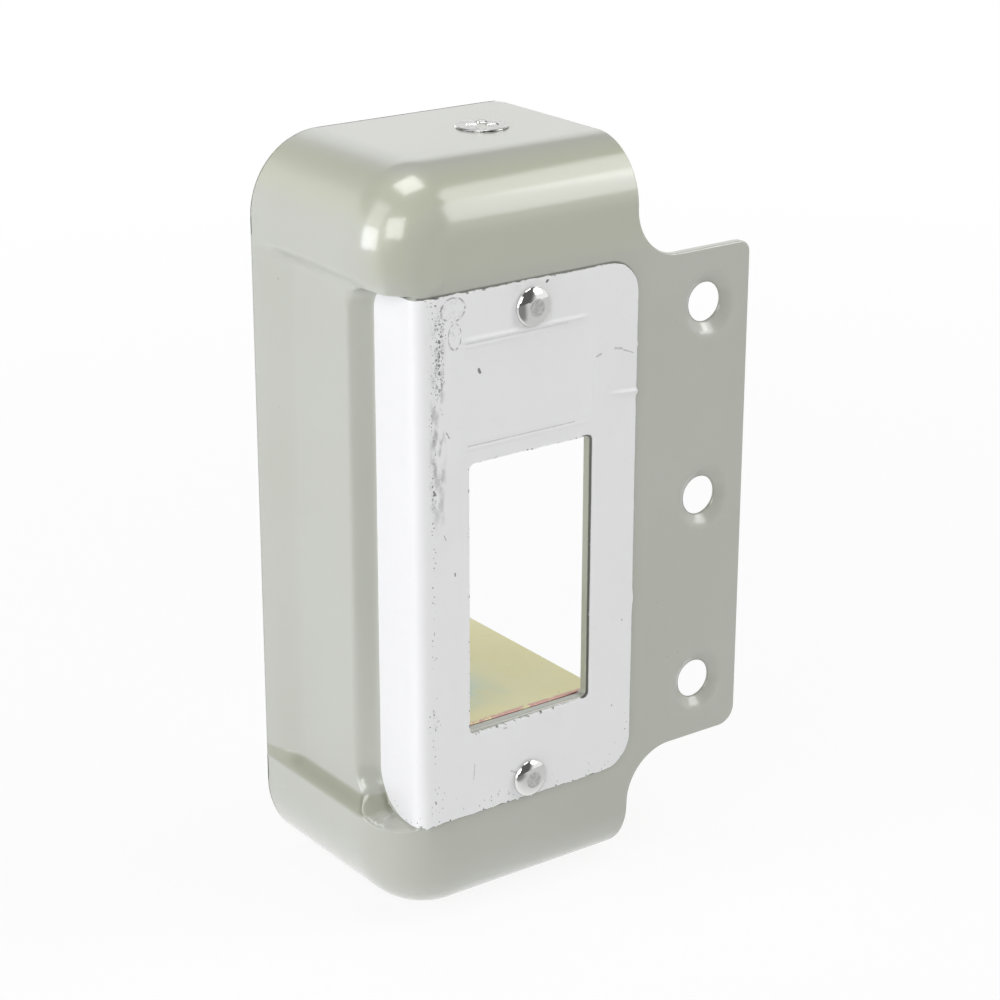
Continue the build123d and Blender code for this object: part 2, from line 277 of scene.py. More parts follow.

# Colours of dirt, wear and tints, and of painted shade and painted glints
DUST_AND_GAP_SHADE = (0.10, 0.10, 0.085)
SMUDGE = (0.45, 0.45, 0.44)
WEAR = (0.055, 0.055, 0.055)
CUT_STEEL = (0.9, 0.9, 0.9)
CUT_SHADE = (0.11, 0.11, 0.10)
TOOL_MARK = (0.4, 0.4, 0.39)
ZINC_GREY = (0.5, 0.48, 0.44)
ZINC_PINK = (0.70, 0.36, 0.36)
ZINC_GLINT = (0.9, 0.85, 0.8)
SCREW_DULL = (0.35, 0.35, 0.34)
RECESS_SHADE_AND_RIM_DARK = (0.06, 0.06, 0.055)

# The camera stands where the photograph was taken, in the part's frame
CAMERA_PLACE = (-252.35, -292.87, 142.91)
CAMERA_RIGHT = (0.807377, -0.590032, 0.002065)
CAMERA_DOWN = (-0.204902, -0.283658, -0.936778)
CAMERA_AHEAD = (0.553315, 0.755910, -0.349918)
CAMERA_LENS = 95.08
SENSOR = 36.0
CAMERA_CLIP = (0.01, 20.0)

# The studio: softboxes by azimuth, height and power, and the pale room that gloss and metal show
LAMP_TARGET = (-25.0, 15.0, 0.0)
LAMP_REACH = 900.0
LAMP_SIDE = 420.0
COOL = (0.93, 0.93, 1.0)
PLAIN = (1.0, 1.0, 1.0)
SOFTBOXES = (
    ("left_low", -90, 12, 2.85, COOL),
    ("left_high", -90, 42, 0.95, PLAIN),
    ("front_left", -50, 28, 2.25, PLAIN),
    ("front_right", 45, 28, 1.4, PLAIN),
    ("right_high", 60, 42, 1.5, PLAIN),
    ("top", 0, 90, 2.6, PLAIN),
    ("behind", 180, 8, 1.4, PLAIN),
)
ROOM_LIGHT = 0.12
ROOM_GLOSS = 1.0
DARK_GLOSS = 0.12
DARK_SIDE = (-0.24, -0.90, 0.36)
DARK_REACH = (0.60, 0.84)
BACKDROP_TOP = (0.42, 0.60)

# The floor: its size, the shadow that it keeps, and what gloss and metal see of it, by direction
FLOOR_HALF = 3000.0
FLOOR_WHITE = 0.9
FLOOR_SHADOW = 0.10
SHADOW_REACH = (0.12, 0.45)
FLOOR_BEHIND = (-0.574, 0.819, 0.0)
FLOOR_REACH = (-0.3, 0.4)
FLOOR_GLOSS = (0.66, 1.0)
FLOOR_DARK_SIDE = (-0.60, -0.80, 0.0)
FLOOR_DARK_REACH = (0.70, 0.90)
FLOOR_DARK = 0.25


def smooth(t):
    """An ease from 0 to 1 with level ends: three t squared less two t cubed."""
    t = np.clip(t, 0.0, 1.0)
    return t * t * (3.0 - 2.0 * t)


def bump(distance, width):
    """A round hump of height 1 that falls off as a bell curve of the distance."""
    return np.exp(-((distance / width) ** 2))


def arc(centre, radius, start, end, count):
    """Points on a circle from angle start to angle end, in degrees."""
    angle = np.radians(np.linspace(start, end, count))
    return np.stack([centre[0] + radius * np.cos(angle), centre[1] + radius * np.sin(angle)], 1)


def line(a, b, spacing):
    """Points from a up to, but not with, b, about spacing apart."""
    a, b = np.array(a, float), np.array(b, float)
    count = max(1, int(round(np.linalg.norm(b - a) / spacing)))
    return a + (b - a) * np.linspace(0, 1, count, endpoint=False)[:, None]


def rounded_rectangle(x0, x1, z0, z1, radii, spacing, segments=6):
    """A closed outline with an arc of its own radius at each corner, from the lower left round."""
    r0, r1, r2, r3 = radii
    corners = (
        ((x0 + r0, z0 + r0), r0, 180),
        ((x1 - r1, z0 + r1), r1, 270),
        ((x1 - r2, z1 - r2), r2, 0),
        ((x0 + r3, z1 - r3), r3, 90),
    )
    arcs = [arc(centre, radius, start, start + 90, segments + 1) for centre, radius, start in corners]
    runs = []
    for bend, following in zip(arcs, arcs[1:] + arcs[:1]):
        runs += [bend[:-1], line(bend[-1], following[0], spacing)]
    return np.concatenate(runs)


def inside(points, loops):
    """Which points lie inside the loops: an odd number of edges crossed on the way to the right."""
    odd = np.zeros(len(points), bool)
    for loop in loops:
        a, b = loop, np.roll(loop, -1, axis=0)
        x, z = points[:, :1], points[:, 1:]
        spans = (a[:, 1] > z) != (b[:, 1] > z)
        rise = np.where(b[:, 1] == a[:, 1], 1e-9, b[:, 1] - a[:, 1])
        crossing = (b[:, 0] - a[:, 0]) * (z - a[:, 1]) / rise + a[:, 0]
        odd ^= (np.sum(spans & (x < crossing), axis=1) % 2).astype(bool)
    return odd


def edge_distance(points, loops):
    """The least distance from each point to any straight edge of the loops."""
    least = np.full(len(points), np.inf)
    for loop in loops:
        a = loop[None]
        run = np.roll(loop, -1, axis=0)[None] - a
        gap = points[:, None] - a
        share = np.clip((gap * run).sum(2) / np.maximum((run * run).sum(2), 1e-12), 0, 1)
        least = np.minimum(least, np.linalg.norm(gap - share[..., None] * run, axis=2).min(1))
    return least


def fill(loops, guides, spacing, fine=None):
    """Triangles over a flat region with holes: its edges, then a grid of points inside, Delaunay joined.
    The grid keeps a share of its spacing off the edges, and is closer in the box of fine: its low and
    high x, its low and high z, and its spacing."""
    low, high = loops[0].min(0), loops[0].max(0)
    grids = []
    for box in ((low[0], high[0], low[1], high[1], spacing), fine):
        if box is None:
            continue
        x = np.arange(box[0], box[1], box[4])
        z = np.arange(box[2], box[3], box[4])
        grid = np.stack(np.meshgrid(x, z), -1).reshape(-1, 2)
        if fine is not None and box is not fine:
            across = (grid[:, 0] > fine[0] - fine[4]) & (grid[:, 0] < fine[1])
            grid = grid[~(across & (grid[:, 1] > fine[2] - fine[4]) & (grid[:, 1] < fine[3]))]
        grid = grid[inside(grid, loops)]
        grids.append(grid[edge_distance(grid, loops + guides) > GRID_MARGIN * box[4]])
    rings = loops + guides
    points = np.concatenate(rings + grids)
    edges = []
    base = 0
    for ring in rings:
        edges += [(base + k, base + (k + 1) % len(ring)) for k in range(len(ring))]
        base += len(ring)
    result = delaunay_2d_cdt([Vector(p) for p in points.tolist()], edges, [], 0, 1e-6)
    found = np.array([tuple(v) for v in result[0]])
    if len(found) != len(points) or np.abs(found - points).max() > 1e-3:
        raise RuntimeError("the outline's edges cross")
    triangles = np.array(result[2])
    kept = inside(points[triangles].mean(1), loops)
    return points, triangles[kept]


def rim_edges(faces, count):
    """The directed edges of a skin that only one face uses."""
    pairs = np.concatenate([np.stack([f, np.roll(f, -1, axis=1)], -1).reshape(-1, 2) for f in faces])
    forward = pairs[:, 0] * count + pairs[:, 1]
    backward = pairs[:, 1] * count + pairs[:, 0]
    return pairs[~np.isin(forward, backward)]


def make_object(name, points, faces, node):
    """Writes a closed mesh in metres, turns its faces outwards and seats it in the frame."""
    mesh = bpy.data.meshes.new(name)
    mesh.from_pydata((points * MM).tolist(), [], [f for group in faces for f in group.tolist()])
    work = bmesh.new()
    work.from_mesh(mesh)
    bmesh.ops.recalc_face_normals(work, faces=work.faces[:])
    work.to_mesh(mesh)
    work.free()
    mesh.polygons.foreach_set("use_smooth", np.ones(len(mesh.polygons), bool))
    mesh.update()
    piece = bpy.data.objects.new(name, mesh)
    bpy.context.scene.collection.objects.link(piece)
    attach(piece, "root")
    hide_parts(node)
    return piece


def sheet_object(name, outer, inner, faces, node, slot, edge_radius):
    """A sheet between two skins of the same faces, closed along its rims, whose edges are eased."""
    count = len(outer)
    rim = rim_edges(faces, count)
    walls = np.stack([rim[:, 1], rim[:, 0], rim[:, 0] + count, rim[:, 1] + count], 1)
    back = [f[:, ::-1] + count for f in faces]
    piece = make_object(name, np.concatenate([outer, inner]), list(faces) + back + [walls], node)
    mesh = piece.data
    ends = np.empty(len(mesh.edges) * 2, int)
    mesh.edges.foreach_get("vertices", ends)
    ends = np.sort(ends.reshape(-1, 2), 1)
    low, high = np.sort(rim, 1).T
    total = 2 * count
    sharp = np.concatenate([low * total + high, (low + count) * total + high + count])
    weight = mesh.attributes.new("bevel_weight_edge", "FLOAT", "EDGE")
    weight.data.foreach_set("value", np.isin(ends[:, 0] * total + ends[:, 1], sharp).astype(np.float32))
    edge = mesh.attributes.new("cut_edge", "FLOAT", "POINT")
    edge.data.foreach_set("value", np.isin(np.arange(total) % count, rim).astype(np.float32))
    ease = piece.modifiers.new("eased edges", "BEVEL")
    ease.width = edge_radius * MM
    ease.segments = 3
    ease.limit_method = "WEIGHT"
    ease.use_clamp_overlap = False
    ease.harden_normals = True
    return piece


def grid_faces(rows, columns, closed=False):
    """Quads over a grid of points numbered row by row, joined round where it is closed."""
    r = np.arange(rows - 1)[:, None]
    c = np.arange(columns if closed else columns - 1)[None]
    following = (c + 1) % columns
    a, b = r * columns + c, r * columns + following
    d, e = (r + 1) * columns + c, (r + 1) * columns + following
    return np.stack([a, b, e, d], -1).reshape(-1, 4)


def turned(profile, centre, axes, count):
    """A profile of radius and height turned about an axis: radius times a circle, plus the height."""
    angle = np.linspace(0, 2 * math.pi, count, endpoint=False)
    across, along, up = (np.array(axis, float) for axis in axes)
    circle = np.cos(angle)[None, :, None] * across + np.sin(angle)[None, :, None] * along
    radius, height = profile.T[:, :, None, None]
    points = radius * circle + height * up + np.array(centre, float)
    return points.reshape(-1, 3), grid_faces(len(profile), count, closed=True)


def seat_depth(x, z):
    """How deep the plate's seat is: full under the plate, easing out past its top, bottom and right."""
    right, low, high = OPEN_EDGE, PLATE_LOW[2], PLATE_HIGH[2]
    dx = np.maximum(x - (right - PLATE_CORNER), 0)
    dz = np.maximum(np.maximum(z - (high - PLATE_CORNER), (low + PLATE_CORNER) - z), 0)
    past = np.hypot(dx, dz) - PLATE_CORNER
    past = np.where(dx > 0, past, dz - PLATE_CORNER)
    return SEAT_DEPTH * smooth(1 - (past - SEAT_EDGE) / SEAT_SLOPE)


def corner_distance(a, b, radius):
    """How far outside a quarter plane a point is, where the plane's corner is rounded. The distances
    past its two edges, each plus the radius and no less than 0, give a hypotenuse, less the radius."""
    return np.hypot(np.maximum(a + radius, 0), np.maximum(b + radius, 0)) - radius


def pocket_weight(y, z):
    """1 in the pocket for the plate's leg, easing to 0 outside the leg's own rounded outline. The
    slope is long behind the leg and short at its ends."""
    past = y - (PLATE_HIGH[1] + POCKET_GAP)
    above = z - (PLATE_HIGH[2] + POCKET_GAP)
    below = PLATE_LOW[2] - POCKET_LOW_GAP - z
    share = 0.0
    for beyond, radius in ((above, LEG_TOP_CORNER), (below, LEG_BOTTOM_CORNER)):
        gap = corner_distance(past, beyond, radius)
        across = np.maximum(past + radius, 0)
        level = np.hypot(across, np.maximum(beyond + radius, 0)) + 1e-9
        run = POCKET_END_RUN + (POCKET_REAR_RUN - POCKET_END_RUN) * (across / level) ** 4
        share = np.maximum(share, gap / np.maximum(run, POCKET_END_RUN))
    return 1 - smooth(share)


def band_weight(z):
    """1 over the side band's floor, easing to 0 up its two ledges. The lower ledge is nearly straight."""
    upper = smooth((BAND_HIGH[1] - z) / (BAND_HIGH[1] - BAND_HIGH[0]))
    rise = np.clip((z - BAND_LOW[0]) / (BAND_LOW[1] - BAND_LOW[0]), 0, 1)
    return upper * ((1 - BAND_LOW_EASE) * rise + BAND_LOW_EASE * smooth(rise))


def pressed_in(angle, depth, y, z, inset, radius):
    """How far the skin is pressed in along the plain form's normal. On the side it is the depth of
    band or pocket. Round the front it is the plain radius less the way from the rounding's centre to
    the band's or the pocket's walls: a wall's distance divided by the cosine or sine of the angle. As
    the angle nears the front face, the seat's outline takes over from the pocket's."""
    ray = radius - inset
    side, front = np.cos(angle), np.sin(angle)
    band = ray - (radius - inset - BAND_SINK) / np.maximum(side, LEAST_COSINE)
    band = 0.5 * (band + np.sqrt(band**2 + BAND_ROUND**2)) - 0.5 * BAND_ROUND
    band = np.where(angle > 0, band, BAND_SINK * smooth((BACK - FRONT - depth) / BAND_FADE))
    near = radius - inset - POCKET_SINK
    far = radius - inset - SEAT_DEPTH
    bend = max(PLATE_BEND - PLATE_SHEET - inset, POCKET_LEAST_BEND)
    corner = (near - bend, far - bend)
    along = corner[0] * side + corner[1] * front
    off = corner[0] * front - corner[1] * side
    arc_reach = along + np.sqrt(np.maximum(bend**2 - off**2, 0))
    reach = np.minimum(near / np.maximum(side, 1e-6), far / np.maximum(front, 1e-6))
    tip = (reach * side > corner[0]) & (reach * front > corner[1])
    pocket = ray - np.where(tip, arc_reach, reach)
    pocket = np.where(angle > 0, pocket, POCKET_SINK)
    inside_pocket = pocket_weight(y, z)
    seat = seat_depth(np.full_like(z, PLATE_LOW[0]), z) / SEAT_DEPTH
    turn = smooth((np.degrees(angle) - SEAT_TURN[0]) / (SEAT_TURN[1] - SEAT_TURN[0]))
    inside_pocket = inside_pocket * (1 - turn) + seat * turn
    return band * band_weight(z) * (1 - inside_pocket) + pocket * inside_pocket


def make_case(sizes):
    """The case's two skins. The plain form is a quarter circle section carried round the outline of
    the closed side, and the band, the pocket and the seat are pressed in along its normal. The front
    wall and the flange are a flat region filled with triangles that shares the section's last row."""
    top_radius = sizes.top_edge_radius / MM
    low_radius = sizes.bottom_edge_radius / MM
    radius = sizes.front_radius / MM
    sheet = sizes.sheet / MM
    z_low, z_high = BOTTOM + low_radius, TOP - top_radius
    stations = (z_low, *CASE_STATIONS, z_high)
    spans = zip(stations, stations[1:], CASE_COUNTS)
    heights = np.concatenate([*(np.linspace(low, high, count)[:-1] for low, high, count in spans), [z_high]])
    lower = np.linspace(OPEN_EDGE, LEFT + low_radius, LOW_WALL_POINTS)[:-1]
    upper = np.linspace(LEFT + top_radius, OPEN_EDGE, TOP_WALL_POINTS)[1:]
    outline = np.concatenate([
        np.stack([lower, np.full_like(lower, BOTTOM)], 1),
        arc((LEFT + low_radius, z_low), low_radius, 270, 180, EDGE_ARC_POINTS)[:-1],
        np.stack([np.full_like(heights, LEFT), heights], 1),
        arc((LEFT + top_radius, z_high), top_radius, 180, 90, EDGE_ARC_POINTS)[1:],
        np.stack([upper, np.full_like(upper, TOP)], 1),
    ])
    bend = np.where(outline[:, 1] > 0, top_radius, low_radius)
    centre = np.stack([
        np.maximum(outline[:, 0], LEFT + bend),
        np.clip(outline[:, 1], z_low, z_high),
    ], 1)
    inward = centre - outline
    inward /= np.linalg.norm(inward, axis=1)[:, None]
    columns = len(outline)

    whole = BACK - FRONT
    rear = whole - (1 - np.cos(np.linspace(0, math.pi / 2, REAR_ARC_POINTS))) * REAR_CORNER
    flank = np.concatenate([
        rear,
        np.linspace(rear[-1], FLANK_STATION, FLANK_POINTS[0])[1:],
        np.linspace(FLANK_STATION, radius, FLANK_POINTS[1])[1:],
    ])
    turn = np.radians(np.linspace(0, 90, FRONT_ARC_POINTS))[1:]
    angles = np.concatenate([np.zeros(len(flank)), turn])
    rows = len(angles) + 1
    z = np.broadcast_to(outline[:, 1], (len(angles), columns))
    angle = np.broadcast_to(angles[:, None], z.shape)
    skins = []
    for inset in (0.0, sheet):
        ray = radius - inset
        plain_in = radius - ray * np.cos(angles)
        depth = np.concatenate([flank, radius - ray * np.sin(angles[len(flank):])])
        place = np.broadcast_to(FRONT + depth[:, None], z.shape)
        press = pressed_in(angle, depth[:, None], place, z, inset, radius)
        way_in = plain_in[:, None] + press * np.cos(angle)
        depth = depth[:, None] + press * np.sin(angle)
        way_in = np.concatenate([way_in, np.full((1, columns), radius + WALL_START)])
        depth = np.concatenate([depth, depth[-1:]])
        spot = outline[None] + way_in[..., None] * inward[None]
        x = spot[..., 0]
        tail = np.maximum(REAR_CORNER - (whole - depth), 0)
        reach = OPEN_EDGE - (REAR_CORNER - np.sqrt(np.maximum(REAR_CORNER**2 - tail**2, 0)))
        straight = LEFT + bend[None]
        share = (outline[:, 0][None] - straight) / (OPEN_EDGE - straight)
        x = np.where(share > 0, straight + share * (reach - straight), x)
        depth[-1] = inset + seat_depth(x[-1], spot[-1, :, 1])
        skins.append(np.stack([x, FRONT + depth, spot[..., 1]], -1))

    edge = skins[0][-1][:, [0, 2]]
    high_notch, low_notch = OPEN_EDGE + TOP_NOTCH_RADIUS, OPEN_EDGE + BOTTOM_NOTCH_RADIUS
    high_corner = FREE_EDGE - FLANGE_TOP_CORNER
    low_corner = FREE_EDGE - FLANGE_BOTTOM_CORNER
    high_turn, low_turn = FLANGE_HIGH - FLANGE_TOP_CORNER, FLANGE_LOW + FLANGE_BOTTOM_CORNER
    flange = np.concatenate([
        arc((high_notch, FLANGE_HIGH + TOP_NOTCH_RADIUS), TOP_NOTCH_RADIUS, 180, 270, NOTCH_POINTS)[:-1],
        line((high_notch, FLANGE_HIGH), (high_corner, FLANGE_HIGH), RIM_SPACING),
        arc((high_corner, high_turn), FLANGE_TOP_CORNER, 90, 0, FLANGE_TOP_POINTS)[:-1],
        line((FREE_EDGE, high_turn), (FREE_EDGE, low_turn), RIM_SPACING),
        arc((low_corner, low_turn), FLANGE_BOTTOM_CORNER, 0, -90, FLANGE_BOTTOM_POINTS)[:-1],
        line((low_corner, FLANGE_LOW), (low_notch, FLANGE_LOW), RIM_SPACING),
        arc((low_notch, FLANGE_LOW - BOTTOM_NOTCH_RADIUS), BOTTOM_NOTCH_RADIUS, 90, 180, NOTCH_POINTS),
    ])
    whole_turn = (0, 360, HOLE_SIDES + 1)
    holes = [arc((0, h), HOLE_DIAMETER / 2, *whole_turn)[:-1] for h in HOLE_HEIGHTS]
    sinks = [arc((0, h), SINK_DIAMETER / 2, *whole_turn)[:-1] for h in HOLE_HEIGHTS]
    window = rounded_rectangle(*WINDOW, (WINDOW_CORNER,) * 4, RIM_SPACING)
    points, triangles = fill([np.concatenate([edge, flange]), window] + holes, sinks, WALL_SPACING)
    seat = seat_depth(points[:, 0], points[:, 1])
    nearest = np.min([np.hypot(points[:, 0], points[:, 1] - h) for h in HOLE_HEIGHTS], axis=0)
    cone = (SINK_DIAMETER / 2 - nearest) / (SINK_DIAMETER / 2 - HOLE_DIAMETER / 2)
    cone = np.clip(cone, 0, 1) * (sheet - SINK_LAND)
    walls = []
    for inset, skin in zip((0.0, sheet), skins):
        depth = FRONT + inset + seat + (0 if inset else cone)
        flat = np.stack([points[:, 0], depth, points[:, 1]], 1)
        flat[:columns] = skin[-1]
        walls.append(np.concatenate([flat, skin[:-1].reshape(-1, 3)]))
    numbers = np.concatenate([len(points) + np.arange((rows - 1) * columns), np.arange(columns)])
    quads = numbers[grid_faces(rows, columns)]
    first, second, third, fourth = (walls[0][quads[:, k]] for k in range(4))
    facing = np.cross(third - first, fourth - second)
    away = walls[0][quads].mean(1) - np.array([OPEN_EDGE, BACK, 0])
    if np.median((facing * away).sum(1)) < 0:
        quads = quads[:, ::-1]
    triangles = wound(points, triangles)
    return sheet_object("painted_case", *walls, [quads, triangles], "case", "case_paint", CASE_EDGE)


def wound(points, triangles):
    """Triangles turned so that all wind the same way and face the front."""
    first, second, third = (points[triangles[:, k]] for k in range(3))
    turn = np.cross(second - first, third - first)
    return np.where(turn[:, None] > 0, triangles, triangles[:, ::-1])


def wander(count, step, seed):
    """Smooth random offsets round a closed edge: seeded noise averaged over step neighbours."""
    noise = np.random.default_rng(seed).normal(size=count)
    window = np.hanning(step + 2)[1:-1]
    wrapped = np.concatenate([noise[-step:], noise, noise[:step]])
    return np.convolve(wrapped, window / np.sqrt((window**2).sum()), "same")[step:-step]


def ragged(loop, amount, step, seed, burrs=()):
    """An outline moved along its own normal by smooth random offsets, most where it runs level, and out
    at each burr: a place, a length and a width."""
    run = np.roll(loop, -1, axis=0) - np.roll(loop, 1, axis=0)
    normal = np.stack([run[:, 1], -run[:, 0]], 1) / np.linalg.norm(run, axis=1)[:, None]
    level = SIDE_RAG + (1 - SIDE_RAG) * np.abs(normal[:, 1])
    out = amount * level * wander(len(loop), step, seed)
    for x, z, length, width in burrs:
        out = out + length * bump(np.hypot(loop[:, 0] - x, loop[:, 1] - z), width)
    return loop + normal * out[:, None]


def plate_relief(x, z):
    """How far the plate's face stands out: a shallow pressed panel with creases above it, below it and
    at its right, a wrinkle towards the free edge, humps, and two sine waves."""
    left, right, low, high = PANEL
    across = smooth((x - left) / CREASE_EASE) * smooth((right - x) / CREASE_EASE)
    height = -PANEL_SINK * np.ones_like(x)
    for inward, ease in zip((x - left, right - x, z - low, high - z), PANEL_EASE):
        height = height * smooth(inward / ease)
    for edge, creases in ((high, TOP_CREASES), (low, LOW_CREASES)):
        for place, rise, width in creases:
            height = height + across * rise * bump(z - edge - place, width)
    place, rise, width = SLANTED_CREASE
    height = height + across * rise * bump(z - high - place - PANEL_SLANT * (x - left), width)
    side = smooth((z - low) / SIDE_CREASE_EASE) * smooth((high - SIDE_CREASE_TOP - z) / SIDE_CREASE_EASE)
    for place, rise, width in SIDE_CREASES:
        height = height + side * rise * bump(x - right - place, width)
    off = z - WRINKLE_END[1] - WRINKLE_SLOPE * (x - WRINKLE_END[0])
    wrinkle = bump(off, np.where(off > 0, *WRINKLE_WIDTHS))
    height = height + WRINKLE_RISE * smooth((x - WRINKLE_START) / WRINKLE_RUN) * wrinkle
    valley = smooth((x - VALLEY_START) / VALLEY_RUN) * bump(z - VALLEY_HEIGHT, VALLEY_WIDTH)
    height = height + VALLEY_RISE * valley
    for hump_x, hump_z, wide, tall, rise in HUMPS:
        height = height + rise * bump(np.hypot((x - hump_x) / wide, (z - hump_z) / tall), 1.0)
    rise, x_rate, x_start, z_rate, z_start = BROAD_WAVE
    height = height + rise * np.sin(x_rate * x + x_start) * np.sin(z_rate * z + z_start)
    rise, x_rate, z_rate = FINE_WAVE
    return height + rise * np.sin(z_rate * z + x_rate * x)


def make_strike_plate(sizes):
    """The plate as a flat sheet, wrapped: level over the front, a quarter circle round the bend, then the
    leg straight back. The flat sheet's outline is ragged, its window's sill drops towards the bend, and
    its face takes the relief."""
    thick = sizes.plate_sheet / MM
    bend = PLATE_BEND
    start = PLATE_LOW[0] + bend
    leg_end = start - math.pi / 2 * bend - (PLATE_HIGH[1] - PLATE_LOW[1] - bend)
    radii = (LEG_BOTTOM_CORNER, PLATE_CORNER, PLATE_CORNER, LEG_TOP_CORNER)
    whole = (leg_end, PLATE_HIGH[0], PLATE_LOW[2], PLATE_HIGH[2])
    outline = rounded_rectangle(*whole, radii, PLATE_RIM_SPACING, segments=20)
    outline = ragged(outline, amount=0.05, step=3, seed=4, burrs=PLATE_BURRS)
    window = rounded_rectangle(*WINDOW, (WINDOW_CORNER,) * 4, PLATE_RIM_SPACING)
    x0, x1, z0, _ = WINDOW
    sill = smooth((z0 + SILL_REACH - window[:, 1]) / SILL_REACH)
    window[:, 1] -= sill * (SILL_DROP * (x1 - window[:, 0]) / (x1 - x0) + SILL_GAP)
    window = ragged(window, amount=0.035, step=2, seed=9)
    left, low = PANEL[0] - PANEL_MARGIN, PANEL[2] - PANEL_MARGIN
    fine = (left, PLATE_HIGH[0], low, PLATE_HIGH[2] - PLATE_HEAD_MARGIN, PANEL_SPACING)
    points, triangles = fill([outline, window], [], PLATE_SPACING, fine)
    u, z = points[:, 0], points[:, 1]
    angle = np.clip((start - u) / bend, 0, math.pi / 2)
    back = np.maximum(start - math.pi / 2 * bend - u, 0)
    relief = plate_relief(u, z) * smooth((u - start) / RELIEF_RUN)
    skins = []
    for inset in (0.0, thick):
        radius = bend - inset + relief
        x = np.where(u > start, u, start - radius * np.sin(angle))
        y = PLATE_LOW[1] + bend - radius * np.cos(angle) + back
        skins.append(np.stack([x, y, z], 1))
    triangles = wound(points, triangles)
    return sheet_object(
        "bright_strike_plate", *skins, [triangles], "strike_plate", "bright_plate", PLATE_EDGE
    )


def make_rivets(sizes):
    """Each rivet is a profile of radius and height turned about its axis: a dished crown with a faint
    lip, a dome that is part of an ellipse, a low rim, then the shank and the spread tail."""
    head = sizes.rivet_head / MM / 2
    face = PLATE_LOW[1]
    height = face - RIVET_LOW[1]
    end = RIVET_HIGH[1] - face
    neck = end - RIVET_TAIL_HEIGHT
    shank, tail = RIVET_SHANK / 2, RIVET_TAIL / 2
    undercut, lift = RIVET_UNDERCUT
    dish = RIVET_DISH * head
    outer = dish + (head - dish) * np.sin(np.linspace(0, math.pi / 2, RIVET_DOME_POINTS))
    radius = np.concatenate([np.linspace(0, dish, RIVET_DISH_POINTS)[:-1], outer])
    rise = height - RIVET_RIM - RIVET_LIP
    dome = RIVET_RIM + rise * np.sqrt(np.maximum(1 - (radius / head) ** 2, 0))
    flat = RIVET_RIM + rise * math.sqrt(1 - RIVET_DISH**2) - RIVET_DISH_DEPTH
    share = smooth((radius - dish + RIVET_DISH_EASE) / (2 * RIVET_DISH_EASE))
    crown = flat * (1 - share) + dome * share + RIVET_LIP * bump(radius - dish, RIVET_LIP_WIDTH)
    profile = np.concatenate([
        np.stack([radius, -crown], 1),
        [(head, -lift), (head - undercut, 0.0), (shank, 0.0), (shank, neck), (tail - RIVET_TAIL_STEP, neck)],
        [(tail, end - RIVET_TAIL_ROUND), (tail - RIVET_TAIL_ROUND, end), (0.0, end)],
    ])
    pieces = []
    for number, z in enumerate((RIVET_LOW[2] + head, RIVET_HIGH[2] - head)):
        points, faces = turned(profile, (RIVET_X, face, z), RIVET_AXES, RIVET_SIDES)
        piece = make_object(f"rivet_{number + 1}", points, [faces], "rivets")
        close_poles(piece)
        pieces.append(piece)
    return pieces


def close_poles(piece):
    """Merges the points that meet on a turned piece's axis."""
    work = bmesh.new()
    work.from_mesh(piece.data)
    bmesh.ops.remove_doubles(work, verts=work.verts[:], dist=0.002 * MM)
    bmesh.ops.recalc_face_normals(work, faces=work.faces[:])
    work.to_mesh(piece.data)
    work.free()
    piece.data.polygons.foreach_set("use_smooth", np.ones(len(piece.data.polygons), bool))


def make_bracket(sizes):
    """The bracket's section, top leg, web and shelf, carried from its front edge to its rear edge. The
    front edge slopes back beside the top leg, and the legs' free corners are rounded."""
    thick = sizes.bracket_sheet / MM
    web, shelf_right = BRACKET_LOW[0], BRACKET_HIGH[0]
    leg_top, shelf_low = BRACKET_HIGH[2], BRACKET_LOW[2]
    front, rear = BRACKET_LOW[1], BRACKET_HIGH[1]
    bend = BRACKET_BEND
    corner = BRACKET_CORNER
    share = np.linspace(0, 1, BRACKET_ROWS)[:, None]
    skins = []
    for inset in (0.0, thick):
        upper = arc((web + bend, leg_top - bend), bend - inset, 90, 180, BRACKET_ARC_POINTS)
        lower = arc((web + bend, shelf_low + bend), bend - inset, 180, 270, BRACKET_ARC_POINTS)
        end = (shelf_right, shelf_low + inset)
        section = np.concatenate([
            line((shelf_right, leg_top - inset), upper[0], BRACKET_SPACING),
            upper[:-1],
            line(upper[-1], lower[0], BRACKET_SPACING),
            lower[:-1],
            line(lower[-1], end, BRACKET_SPACING),
            [end],
        ])
        first = np.interp(section[:, 1], BRACKET_CUT, (front, BRACKET_CUT_REAR))
        free = np.minimum(np.abs(section[:, 0] - shelf_right), corner)
        trim = corner - np.sqrt(np.maximum(corner**2 - (corner - free) ** 2, 0))
        y = first + trim + (rear - trim - first - trim) * share
        x = np.broadcast_to(section[:, 0], y.shape)
        z = np.broadcast_to(section[:, 1], y.shape)
        skins.append(np.stack([x, y, z], -1).reshape(-1, 3))
    faces = grid_faces(BRACKET_ROWS, len(section))
    return sheet_object("zinc_bracket", *skins, [faces], "inner_bracket", "yellow_zinc", BRACKET_EDGE)


